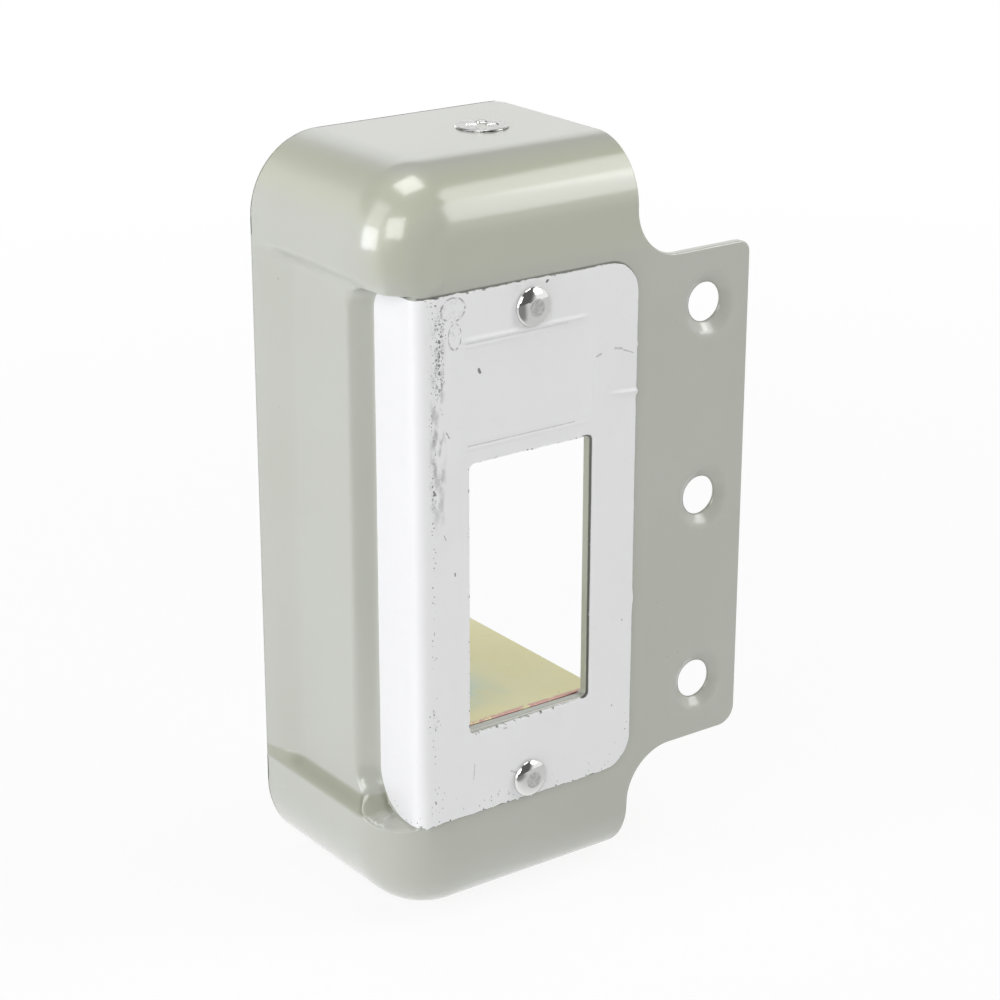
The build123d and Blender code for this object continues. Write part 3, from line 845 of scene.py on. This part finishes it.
def make_screw(sizes):
    """The head is a disc of radius and angle whose height drops in a cross, then the cone and the shank
    are a profile turned about the same axis."""
    head = sizes.screw_head / MM / 2
    crown = SCREW_HIGH[2]
    tip = SCREW_LOW[2]
    x, y = (SCREW_LOW[:2] + SCREW_HIGH[:2]) / 2
    radius = np.linspace(0, 1, SCREW_RINGS)[:, None] * (head - SCREW_FACE_MARGIN)
    angle = np.linspace(0, 2 * math.pi, SCREW_SIDES, endpoint=False) + RECESS_TURN
    cx = radius * np.cos(angle - RECESS_TURN)
    cy = radius * np.sin(angle - RECESS_TURN)
    past_x, past_y = (np.maximum(np.abs(across) - RECESS_ARM, 0) for across in (cx, cy))
    off_x, off_y = (np.maximum(np.abs(across) - RECESS_HALF_WIDTH, 0) for across in (cx, cy))
    outside = np.minimum(past_x + off_y, past_y + off_x)
    depth = RECESS_DEPTH * (1 - smooth(outside / RECESS_SLOPE))
    floor = RECESS_END_DEPTH + RECESS_FALL * (1 - np.hypot(cx, cy) / RECESS_REACH)
    depth = np.maximum(np.minimum(depth, floor), 0)
    domed = crown - depth - SCREW_DOME * (radius / head) ** 2
    top = np.stack([x + radius * np.cos(angle), y + radius * np.sin(angle), domed], -1).reshape(-1, 3)
    shank = SCREW_DIAMETER / 2
    inset, first_drop, second_drop = SCREW_RIM
    rest = np.array([
        (head - inset, crown - first_drop), (head, crown - second_drop), (head, TOP),
        (shank, TOP - head + shank), (shank, tip + SCREW_TIP_HEIGHT), (SCREW_TIP / 2, tip), (0.0, tip),
    ])
    across, height = rest.T[:, :, None]
    rim = np.stack([
        x + across * np.cos(angle),
        y + across * np.sin(angle),
        np.repeat(height, len(angle), 1),
    ], -1).reshape(-1, 3)
    faces = grid_faces(len(radius) + len(rest), len(angle), closed=True)
    piece = make_object("screw", np.concatenate([top, rim]), [faces], "bracket_screw")
    close_poles(piece)
    return piece


class Signal:
    """A number that varies over a surface. Arithmetic on it adds Math nodes."""

    def __init__(self, finish, socket):
        self.finish = finish
        self.socket = socket

    def math(self, operation, *values):
        """One Math node on these values."""
        found = self.finish.node("ShaderNodeMath", {"operation": operation}, dict(enumerate(values)))
        return Signal(self.finish, found.outputs[0])

    def __add__(self, other):
        return self.math("ADD", self, other)

    def __radd__(self, other):
        return self.math("ADD", other, self)

    def __sub__(self, other):
        return self.math("SUBTRACT", self, other)

    def __rsub__(self, other):
        return self.math("SUBTRACT", other, self)

    def __mul__(self, other):
        return self.math("MULTIPLY", self, other)

    def __rmul__(self, other):
        return self.math("MULTIPLY", other, self)

    def __truediv__(self, other):
        return self.math("DIVIDE", self, other)

    def __abs__(self):
        return self.math("ABSOLUTE", self)

    def root(self):
        """Its square root."""
        return self.math("SQRT", self)

    def over(self, other):
        """The larger of the two."""
        return self.math("MAXIMUM", self, other)

    def under(self, other):
        """The smaller of the two."""
        return self.math("MINIMUM", self, other)

    def between(self, low_end, low, high, high_end):
        """1 from low to high, easing to 0 at the two ends."""
        return self.ease(low_end, low) * self.ease(high_end, high)

    def ease(self, low, high):
        """A smooth rise from 0 at low to 1 at high, or a fall where low is the larger."""
        values = {"Value": self, "From Min": min(low, high), "From Max": max(low, high)}
        values["To Min"], values["To Max"] = (0.0, 1.0) if low < high else (1.0, 0.0)
        found = self.finish.node("ShaderNodeMapRange", {"interpolation_type": "SMOOTHSTEP"}, values)
        return Signal(self.finish, found.outputs["Result"])


class Finish:
    """A material under construction, on Object coordinates in millimetres."""

    def __init__(self, name, **constants):
        self.material = bpy.data.materials.new(name)
        self.material.use_nodes = True
        self.tree = self.material.node_tree
        self.shader = self.tree.nodes["Principled BSDF"]
        for socket, value in constants.items():
            self.shader.inputs[socket.replace("_", " ")].default_value = value
        coordinates = self.node("ShaderNodeTexCoord")
        sockets = {0: coordinates.outputs["Object"], "Scale": 1 / MM}
        self.place = self.node("ShaderNodeVectorMath", {"operation": "SCALE"}, sockets).outputs["Vector"]
        split = self.node("ShaderNodeSeparateXYZ", {}, {0: self.place})
        self.x, self.y, self.z = (Signal(self, socket) for socket in split.outputs)

    def node(self, kind, settings=None, sockets=None):
        """Adds a node, sets its settings, then gives its sockets their values or links."""
        found = self.tree.nodes.new(kind)
        for name, value in (settings or {}).items():
            setattr(found, name, value)
        for key, value in (sockets or {}).items():
            self.plug(found.inputs[key], value)
        return found

    def plug(self, socket, value):
        """Links a signal or a node's output to a socket, or sets a plain value on it."""
        if isinstance(value, Signal):
            value = value.socket
        if isinstance(value, bpy.types.NodeSocket):
            self.tree.links.new(value, socket)
        elif socket.type == "RGBA":
            socket.default_value = (*value, 1.0) if len(value) == 3 else value
        else:
            socket.default_value = value

    def noise(self, scale, detail=3.0, stretch=(1, 1, 1)):
        """Soft noise from 0 to 1, with scale in waves per millimetre."""
        spot = self.node("ShaderNodeVectorMath", {"operation": "MULTIPLY"}, {0: self.place, 1: stretch})
        values = {"Vector": spot.outputs[0], "Scale": scale, "Detail": detail}
        return Signal(self, self.node("ShaderNodeTexNoise", {}, values).outputs["Fac"])

    def cells(self, scale):
        """Scattered points: the distance to the nearest, in shares of a cell, and its own random number."""
        found = self.node("ShaderNodeTexVoronoi", {}, {"Vector": self.place, "Scale": scale})
        chance = self.node("ShaderNodeSeparateXYZ", {}, {0: found.outputs["Color"]})
        return Signal(self, found.outputs["Distance"]), Signal(self, chance.outputs[0])

    def specks(self, scale, share, size):
        """Dots in that share of the cells, each of its own size, up to size in shares of a cell."""
        distance, chance = self.cells(scale)
        radius = ((0.35 + 0.65 * chance / (share + 0.001)) * size).under(size)
        return (share - chance).ease(0.0, 0.02) * (radius - distance).ease(0.0, 0.09)

    def gap_to(self, start, end):
        """The distance on the front face, over x and z, to a straight stroke from start to end."""
        run = (end[0] - start[0], end[1] - start[1])
        length = run[0] ** 2 + run[1] ** 2 + 1e-9
        dx, dz = self.x - start[0], self.z - start[1]
        share = (dx * (run[0] / length) + dz * (run[1] / length)).over(0.0).under(1.0)
        off_x, off_z = dx - share * run[0], dz - share * run[1]
        return (off_x * off_x + off_z * off_z).root()

    def patch(self, x, z, wide, high, soft):
        """An oval on the front face: 1 inside, easing to 0 over the soft outer share of it."""
        dx, dz = (self.x - x) / wide, (self.z - z) / high
        return (dx * dx + dz * dz).root().ease(1.0, 1.0 - soft)

    def attribute(self, name):
        """A number stored on the mesh's points."""
        return Signal(self, self.node("ShaderNodeAttribute", {"attribute_name": name}).outputs["Fac"])

    def blend(self, share, first, second):
        """A colour between two, by share."""
        found = self.node("ShaderNodeMix", {"data_type": "RGBA"}, {0: share, 6: first, 7: second})
        return found.outputs[2]

    def finish(self, colour, roughness, height, strength, distance, metallic=None):
        """Links what varies to the shader: colour, roughness, a bump in millimetres, and metal."""
        values = {"Strength": strength, "Distance": distance * MM, "Height": height}
        relief = self.node("ShaderNodeBump", {}, values)
        links = {"Base Color": colour, "Roughness": roughness, "Normal": relief.outputs["Normal"]}
        if metallic is not None:
            links["Metallic"] = metallic
        for name, value in links.items():
            self.plug(self.shader.inputs[name], value)
        return self.material


def paint_finish(colours):
    """Smooth pale paint under a clear gloss: a faint orange peel, slow drifts of tone, painted shade as an
    olive tone on the head's roundings, on the front above the plate and on the lower ledge, rare dust
    specks, and a painted shadow in the gap round the plate."""
    paint = Finish("case_paint", Coat_Weight=1.0, Coat_Roughness=0.16, Coat_IOR=1.7, Specular_IOR_Level=0.3)
    drift = paint.noise(0.035, detail=2.0)
    # Painted shade: head marks the head's roundings and the front face above the plate, which take a darker
    # olive tone
    off_flats = (paint.x - LEFT).under(TOP - paint.z).under(paint.y - FRONT)
    head = paint.z.ease(41.0, 46.0) * off_flats.ease(0.1, 2.2) * 0.8
    head = head.over(paint.z.ease(38.0, 46.0) * paint.y.ease(1.0, -1.0) * 0.5)
    dust = paint.specks(0.45, share=0.10, size=0.11)
    base = paint.blend(drift.ease(0.3, 0.7), colours.paint, colours.paint_shade)
    base = paint.blend(head, base, colours.paint_head_shade)
    # Painted shadow: a dark line on the front face in the gap round the plate's outline
    right, low, high = OPEN_EDGE, PLATE_LOW[2], PLATE_HIGH[2]
    over_x = (paint.x - (right - PLATE_CORNER)).over(0.0)
    over_z = (paint.z - (high - PLATE_CORNER)).over((low + PLATE_CORNER) - paint.z).over(0.0)
    past = (over_x * over_x + over_z * over_z).root() - PLATE_CORNER
    on_face = paint.y.ease(FRONT + 1.2, FRONT + 0.7)
    gap_shade = past.between(-0.9, -0.5, 0.12, 0.42) * on_face * 0.8
    # Painted shade: a darker olive strip along the lower ledge
    ledge = paint.z.between(BAND_LOW[0] - 0.3, BAND_LOW[0] + 0.4, BAND_LOW[1] - 0.5, BAND_LOW[1] + 0.1)
    base = paint.blend(ledge * paint.x.ease(-44.0, -49.0) * 0.8, base, colours.paint_ledge_shade)
    colour = paint.blend((dust * 0.6).over(gap_shade), base, DUST_AND_GAP_SHADE)
    peel = paint.noise(0.55, detail=2.0)
    return paint.finish(colour, 0.3 + 0.08 * drift, peel, strength=0.1, distance=0.1)


def plate_wear(plate):
    """Where the plate is marked, from 0 to 1: specks down the bend and in patches, a smear and blots,
    two ring scuffs, and single strokes, of which two are painted shade along the panel's creases."""
    bend_x = PLATE_LOW[0] + PLATE_BEND
    column = plate.x.between(bend_x, bend_x + 1.1, bend_x + 2.2, bend_x + 3.4)
    core = plate.x.between(bend_x + 0.9, bend_x + 1.8, bend_x + 2.4, bend_x + 3.0)
    upper = plate.z.between(22.0, 30.0, 35.0, 40.0)
    middle = plate.z.between(4.0, 12.0, 22.0, 28.0)
    spine = plate.x.between(bend_x + 0.1, bend_x + 0.6, bend_x + 1.1, bend_x + 1.6)
    tail = plate.z.between(-42.0, -20.0, 10.0, 19.0)
    share = column * upper * 0.6 + core * upper * 0.9 + spine * (middle * 0.55 + tail * 0.2) + 0.012
    share = share + plate.z.ease(-37.5, -41.3) * 0.10
    for x, z, wide, high, soft, dense in SPECK_PATCHES:
        share = share + plate.patch(x, z, wide, high, soft) * dense
    rough_edge = plate.noise(1.6, detail=2.0)
    fine_specks = plate.specks(3.1, share, size=0.42)
    coarse_specks = plate.specks(1.7, (share - 0.16).over(0.0) * 0.9, size=0.34)
    streaks = plate.noise(1.1, detail=4.0, stretch=(1, 1, 0.35)).ease(0.44, 0.66)
    smear = column * (upper * 0.5 + middle * 0.9) * streaks * 0.5
    blots = core * upper * plate.noise(2.4, detail=3.0).ease(0.53, 0.60) * 0.8
    marks = (fine_specks * 0.85).over(coarse_specks * 0.92).over(smear).over(blots)
    for x, z, wide, high, dark in RING_SCUFFS:
        dx, dz = (plate.x - x) / wide, (plate.z - z) / high
        off = abs((dx * dx + dz * dz).root() - 1.0) + (rough_edge - 0.5) * 0.14
        broken = plate.noise(1.3, detail=2.0).ease(0.38, 0.6)
        marks = marks.over(off.ease(0.10, 0.03) * broken * dark)
        inner = (dx * dx + dz * dz).ease(1.1, 0.6) * plate.noise(2.2, detail=3.0).ease(0.5, 0.7)
        marks = marks.over(inner * 0.16)
    for start, end, width, dark in STROKES_AND_CREASE_SHADE:
        gap = plate.gap_to(start, end) + (rough_edge - 0.5) * width * 1.1
        marks = marks.over(gap.ease(width, width * 0.45) * dark)
    return marks


def plate_finish(colours):
    """White coated sheet, worn: dark specks and scuffs with painted shade along two creases, ragged cut edges
    of light and dark steel with a painted shadow at the window's right edge, fine scratches.
    """
    plate = Finish("bright_plate", Specular_IOR_Level=0.5)
    cloud = plate.noise(0.06, detail=3.0)
    smudge = cloud.ease(0.5, 0.75) * 0.045 + plate.noise(0.35, detail=4.0).ease(0.55, 0.8) * 0.035
    base = plate.blend(smudge, colours.plate, SMUDGE)
    worn = plate.blend(plate_wear(plate).under(1.0), base, WEAR)
    edge = plate.attribute("cut_edge").ease(0.55, 0.85)
    bits = plate.noise(1.5, detail=4.0, stretch=(1, 0.3, 1))
    # Painted shadow: the cut edge is darker along the window's right side
    _, right, low, high = WINDOW
    window_edge_shade = plate.x.between(right - 1.5, right - 0.8, right + 0.3, right + 0.8)
    window_edge_shade = window_edge_shade * plate.z.between(low - 1.0, low, high, high + 1.0)
    sides = plate.y.ease(1.0, 4.0).over(plate.x.ease(OPEN_EDGE - 0.6, OPEN_EDGE - 0.2) * 0.5)
    bare_and_shade = (bits + window_edge_shade * 0.3 - sides * 0.2).ease(0.57, 0.66)
    cut = plate.blend(bare_and_shade, CUT_STEEL, CUT_SHADE)
    colour = plate.blend(edge, worn, cut)
    scratch = plate.noise(0.8, detail=3.0, stretch=(1, 1, 3.0)) + plate.noise(2.5, detail=2.0) * 0.3
    return plate.finish(colour, 0.27 + 0.05 * cloud, scratch, strength=0.1, distance=0.05)


def rivet_finish(colours):
    """Polished nickel with faint tool marks on the crown."""
    rivet = Finish("rivet_steel", Metallic=1.0)
    marks = rivet.noise(1.8, detail=4.0)
    high, low = RIVET_HEIGHTS
    dx = rivet.x - RIVET_X
    dz = abs(rivet.z - (high + low) / 2) - (high - low) / 2
    crown = (dx * dx + dz * dz).root().ease(1.5, 1.1)
    dull = crown * (0.3 + 0.3 * marks.ease(0.4, 0.6))
    colour = rivet.blend(dull, colours.bright_metal, TOOL_MARK)
    scuffed = crown * marks
    return rivet.finish(colour, 0.06 + 0.25 * scuffed, scuffed, strength=0.1, distance=0.05)


def zinc_finish(colours):
    """Yellow passivated zinc: straw, with clouds of pale blue green, grey drifts towards the rear, and a
    pink tint at the sheared edge, with bright specks there as painted glints."""
    zinc = Finish("yellow_zinc")
    cloud = zinc.noise(0.12, detail=3.0).ease(0.40, 0.62)
    patch = zinc.x.ease(-29.0, -40.0) * zinc.y.between(2.0, 8.0, 14.0, 27.0)
    base = zinc.blend(((0.12 + patch) * (0.35 + 0.65 * cloud)).under(1.0), colours.zinc, colours.zinc_cloud)
    grey = zinc.noise(0.2, detail=3.0, stretch=(0.5, 1, 1)).ease(0.55, 0.72) * zinc.y.ease(14.0, 24.0) * 0.3
    base = zinc.blend(grey, base, ZINC_GREY)
    edge = zinc.y.ease(1.7, 0.9) * zinc.noise(0.8, detail=2.0, stretch=(1, 1, 0.2)).ease(0.3, 0.5)
    colour = zinc.blend(edge * 0.85, base, ZINC_PINK)
    # Painted glints: bright specks, thickest along the sheared front edge
    bits = zinc.specks(1.4, zinc.y.ease(1.3, 0.8) * 0.4 + 0.02, size=0.3)
    colour = zinc.blend(bits * 0.7, colour, ZINC_GLINT)
    grain = zinc.noise(1.2, detail=3.0)
    metallic = 0.7 + 0.1 * cloud
    return zinc.finish(colour, 0.25 + 0.1 * grain, grain, strength=0.1, distance=0.04, metallic=metallic)


def screw_finish(colours):
    """Nickel plate with dull drifts, painted shade in the cross recess, and dark in parts of the head's rim.
    """
    screw = Finish("screw_nickel", Metallic=1.0)
    marks = screw.noise(1.4, detail=3.0)
    colour = screw.blend(0.25 + marks.ease(0.4, 0.7) * 0.4, colours.bright_metal, SCREW_DULL)
    crown = SCREW_HIGH[2]
    # Painted shade: dark in the cross recess
    deep = screw.z.between(TOP - 2.0, TOP - 1.2, crown - 0.9, crown - 0.35)
    broken = screw.noise(0.9, detail=2.0, stretch=(1, 1, 0)).ease(0.40, 0.55)
    rim = screw.z.ease(crown - 0.05, crown - 0.16) * broken
    dx = screw.x - (SCREW_LOW[0] + SCREW_HIGH[0]) / 2
    dy = screw.y - (SCREW_LOW[1] + SCREW_HIGH[1]) / 2
    outer = (dx * dx + dy * dy).root().ease(3.6, 3.85)
    colour = screw.blend((deep * 0.8).over(rim * outer * 0.85), colour, RECESS_SHADE_AND_RIM_DARK)
    return screw.finish(colour, 0.2 + 0.15 * marks, marks, strength=0.15, distance=0.05)


def size_property(name, description, length):
    """A length with its default in millimetres."""
    return FloatProperty(name=name, description=description, default=length * MM, unit="LENGTH")


class StrikeSizes(PropertyGroup):
    """Sizes of the strike's pieces."""

    sheet: size_property("Case Sheet", "Thickness of the case's sheet steel", 1.5)
    top_edge_radius: size_property("Top Edge Radius", "Radius of the case's upper left edge", 11.8)
    bottom_edge_radius: size_property("Bottom Edge Radius", "Radius of the case's lower left edge", 13.5)
    front_radius: size_property("Front Radius", "Radius round the front wall's outline", 10.0)
    plate_sheet: size_property("Plate Sheet", "Thickness of the strike plate", PLATE_SHEET)
    rivet_head: size_property("Rivet Head", "Diameter of a rivet's head", 6.0)
    bracket_sheet: size_property("Bracket Sheet", "Thickness of the inner bracket", 1.6)
    screw_head: size_property("Screw Head", "Diameter of the screw's head", 8.1)


def colour_property(name, description, default):
    """A colour swatch with its default."""
    return FloatVectorProperty(
        name=name, description=description, subtype="COLOR", size=3, min=0.0, max=1.0, default=default
    )


class StrikeColours(PropertyGroup):
    """Colours of the strike's finishes."""

    paint: colour_property("Paint", "The case's paint", (0.490, 0.503, 0.447))
    paint_shade: colour_property("Paint Drift", "The paint's second tone", (0.480, 0.493, 0.433))
    # Painted shade: the olive tones of the head's roundings and of the lower ledge
    paint_head_shade: colour_property("Paint On The Head", "The paint on the head's rounding", (0.475, 0.49, 0.375))
    paint_ledge_shade: colour_property("Paint On The Ledge", "The paint on the lower ledge", (0.33, 0.34, 0.25))
    plate: colour_property("Plate", "The strike plate's coating", (0.88, 0.88, 0.88))
    bright_metal: colour_property("Bright Metal", "Rivets and screw", (0.81, 0.81, 0.80))
    zinc: colour_property("Zinc", "The bracket's yellow zinc", (0.90, 0.85, 0.49))
    zinc_cloud: colour_property("Zinc Clouds", "The bracket's pale clouds", (0.60, 0.78, 0.76))


class STRIKE_OT_case(Operator):
    """Build the painted case with its flange"""

    bl_idname = "strike.case"
    bl_label = "Case"

    def execute(self, context):
        piece = make_case(context.scene.strike_sizes)
        piece.data.materials.append(paint_finish(context.scene.strike_colours))
        return {"FINISHED"}


class STRIKE_OT_plate(Operator):
    """Build the thin strike plate"""

    bl_idname = "strike.plate"
    bl_label = "Strike Plate"

    def execute(self, context):
        piece = make_strike_plate(context.scene.strike_sizes)
        piece.data.materials.append(plate_finish(context.scene.strike_colours))
        return {"FINISHED"}


class STRIKE_OT_rivets(Operator):
    """Build the two domed rivets"""

    bl_idname = "strike.rivets"
    bl_label = "Rivets"

    def execute(self, context):
        material = rivet_finish(context.scene.strike_colours)
        for piece in make_rivets(context.scene.strike_sizes):
            piece.data.materials.append(material)
        return {"FINISHED"}


class STRIKE_OT_bracket(Operator):
    """Build the folded inner bracket"""

    bl_idname = "strike.bracket"
    bl_label = "Inner Bracket"

    def execute(self, context):
        piece = make_bracket(context.scene.strike_sizes)
        piece.data.materials.append(zinc_finish(context.scene.strike_colours))
        return {"FINISHED"}


class STRIKE_OT_screw(Operator):
    """Build the bracket's countersunk screw"""

    bl_idname = "strike.screw"
    bl_label = "Bracket Screw"

    def execute(self, context):
        piece = make_screw(context.scene.strike_sizes)
        piece.data.materials.append(screw_finish(context.scene.strike_colours))
        return {"FINISHED"}


def add_camera():
    """A camera whose axes are the photograph's right, up and back directions."""
    camera = bpy.data.cameras.new("camera")
    camera.lens = CAMERA_LENS
    camera.sensor_width = SENSOR
    camera.clip_start, camera.clip_end = CAMERA_CLIP
    seat = bpy.data.objects.new("camera", camera)
    bpy.context.scene.collection.objects.link(seat)
    axes = np.array([CAMERA_RIGHT, -np.array(CAMERA_DOWN), -np.array(CAMERA_AHEAD)]).T
    pose = Matrix(axes.tolist()).to_4x4()
    pose.translation = Vector(CAMERA_PLACE) * MM
    seat.matrix_world = pose
    bpy.context.scene.camera = seat


def add_lamp(name, azimuth, height, power, colour):
    """A square softbox that faces the strike from an azimuth and a height in degrees. Azimuth 0 is in
    front, and 90 is at the flange's side."""
    lamp = bpy.data.lights.new(name, "AREA")
    lamp.shape = "SQUARE"
    lamp.size = LAMP_SIDE * MM
    lamp.energy = power
    lamp.color = colour
    turn, rise = math.radians(azimuth), math.radians(height)
    way = Vector((math.sin(turn) * math.cos(rise), -math.cos(turn) * math.cos(rise), math.sin(rise)))
    seat = bpy.data.objects.new(name, lamp)
    bpy.context.scene.collection.objects.link(seat)
    seat.location = (Vector(LAMP_TARGET) + way * LAMP_REACH) * MM
    seat.rotation_euler = (-way).to_track_quat("-Z", "Y").to_euler()


def add_node(owner, kind, sockets=None):
    """Adds a node to a material or a world, and gives its sockets their values or links."""
    tree = owner.node_tree
    found = tree.nodes.new(kind)
    for key, value in (sockets or {}).items():
        if isinstance(value, bpy.types.NodeSocket):
            tree.links.new(value, found.inputs[key])
        else:
            found.inputs[key].default_value = value
    return found


def add_lean(owner, way, lean, reach, levels):
    """A level that eases from the first to the second as a direction's share along lean passes reach."""
    along = add_node(owner, "ShaderNodeVectorMath", {0: way, 1: lean})
    along.operation = "DOT_PRODUCT"
    limits = dict(zip(("From Min", "From Max", "To Min", "To Max"), (*reach, *levels)))
    eased = add_node(owner, "ShaderNodeMapRange", {"Value": along.outputs["Value"], **limits})
    eased.interpolation_type = "SMOOTHSTEP"
    return eased.outputs[0]


def add_floor():
    """A white floor that keeps the soft shadow of what stands on it."""
    corners = ((-1, -1), (1, -1), (1, 1), (-1, 1))
    points = np.array([(x * FLOOR_HALF, y * FLOOR_HALF, BOTTOM) for x, y in corners])
    mesh = bpy.data.meshes.new("floor")
    mesh.from_pydata((points * MM).tolist(), [], [(0, 1, 2, 3)])
    floor = bpy.data.objects.new("floor", mesh)
    bpy.context.scene.collection.objects.link(floor)
    material = bpy.data.materials.new("floor")
    material.use_nodes = True
    nodes, links = material.node_tree.nodes, material.node_tree.links
    shader = nodes["Principled BSDF"]
    shader.inputs["Base Color"].default_value = (FLOOR_WHITE, FLOOR_WHITE, FLOOR_WHITE, 1.0)
    shader.inputs["Roughness"].default_value = 1.0
    shader.inputs["Specular IOR Level"].default_value = 0.0
    plain = add_node(material, "ShaderNodeEmission", {"Strength": 1.0})
    place = add_node(material, "ShaderNodeTexCoord").outputs["Object"]
    way = add_node(material, "ShaderNodeVectorMath", {0: place})
    way.operation = "NORMALIZE"
    open_floor = add_lean(material, way.outputs[0], FLOOR_BEHIND, FLOOR_REACH, FLOOR_GLOSS)
    levels = (open_floor, FLOOR_DARK)
    level = add_lean(material, way.outputs[0], FLOOR_DARK_SIDE, FLOOR_DARK_REACH, levels)
    gloss = add_node(material, "ShaderNodeEmission", {"Strength": level})
    far = add_node(material, "ShaderNodeVectorMath", {0: place})
    far.operation = "LENGTH"
    limits = dict(zip(("From Min", "From Max", "To Min", "To Max"), (*SHADOW_REACH, FLOOR_SHADOW, 0.0)))
    shadow = add_node(material, "ShaderNodeMapRange", {"Value": far.outputs["Value"], **limits})
    path = add_node(material, "ShaderNodeLightPath")
    lit = nodes["Material Output"].inputs[0]
    sockets = {0: shadow.outputs[0], 1: plain.outputs[0], 2: shader.outputs[0]}
    seen = add_node(material, "ShaderNodeMixShader", sockets)
    rays = {0: path.outputs["Is Camera Ray"], 1: shader.outputs[0], 2: seen.outputs[0]}
    by_camera = add_node(material, "ShaderNodeMixShader", rays)
    rays = {0: path.outputs["Is Glossy Ray"], 1: by_camera.outputs[0], 2: gloss.outputs[0]}
    links.new(add_node(material, "ShaderNodeMixShader", rays).outputs[0], lit)
    mesh.materials.append(material)


def add_world():
    """A white room to the camera. Gloss and metal see it white too, with a dark part round the camera,
    and it gives almost no light of its own."""
    world = bpy.data.worlds.new("room")
    bpy.context.scene.world = world
    world.use_nodes = True
    nodes, links = world.node_tree.nodes, world.node_tree.links
    background = nodes["Background"]
    background.inputs["Color"].default_value = (1.0, 1.0, 1.0, 1.0)
    path = add_node(world, "ShaderNodeLightPath")
    way = add_node(world, "ShaderNodeTexCoord").outputs["Generated"]
    front = add_lean(world, way, DARK_SIDE, DARK_REACH, (ROOM_GLOSS, DARK_GLOSS))
    gloss = add_lean(world, way, (0.0, 0.0, 1.0), BACKDROP_TOP, (front, DARK_GLOSS))
    rays = {"Value": path.outputs["Is Glossy Ray"], "To Min": ROOM_LIGHT, "To Max": gloss}
    level = add_node(world, "ShaderNodeMapRange", rays)
    rays = {"Value": path.outputs["Is Camera Ray"], "To Min": level.outputs[0], "To Max": 1.0}
    level = add_node(world, "ShaderNodeMapRange", rays)
    links.new(level.outputs[0], background.inputs["Strength"])


class STRIKE_OT_stage(Operator):
    """Set up the floor, the room's light, the lamps and the camera"""

    bl_idname = "strike.stage"
    bl_label = "Stage"

    def execute(self, context):
        add_floor()
        add_world()
        add_camera()
        for lamp in SOFTBOXES:
            add_lamp(*lamp)
        context.scene.view_settings.view_transform = "Standard"
        return {"FINISHED"}


BUILD_ORDER = (
    STRIKE_OT_case,
    STRIKE_OT_plate,
    STRIKE_OT_rivets,
    STRIKE_OT_bracket,
    STRIKE_OT_screw,
    STRIKE_OT_stage,
)


class STRIKE_PT_panel(Panel):
    """Lists the strike's pieces, sizes and colours"""

    bl_label = "Strike Plate"
    bl_space_type = "VIEW_3D"
    bl_region_type = "UI"
    bl_category = "Strike Plate"

    def draw(self, context):
        for group in (context.scene.strike_sizes, context.scene.strike_colours):
            box = self.layout.box()
            for name in group.bl_rna.properties.keys():
                if name not in ("rna_type", "name"):
                    box.prop(group, name)
        for operator in BUILD_ORDER:
            self.layout.operator(operator.bl_idname)


CLASSES = (StrikeSizes, StrikeColours, *BUILD_ORDER, STRIKE_PT_panel)


def register():
    for cls in CLASSES:
        bpy.utils.register_class(cls)
    bpy.types.Scene.strike_sizes = PointerProperty(type=StrikeSizes)
    bpy.types.Scene.strike_colours = PointerProperty(type=StrikeColours)


def unregister():
    del bpy.types.Scene.strike_colours
    del bpy.types.Scene.strike_sizes
    for cls in reversed(CLASSES):
        bpy.utils.unregister_class(cls)


def main():
    """Builds every piece and the stage."""
    register()
    for operator in BUILD_ORDER:
        group, name = operator.bl_idname.split(".")
        getattr(getattr(bpy.ops, group), name)()
    bpy.context.view_layer.update()


if __name__ == "__main__":
    main()
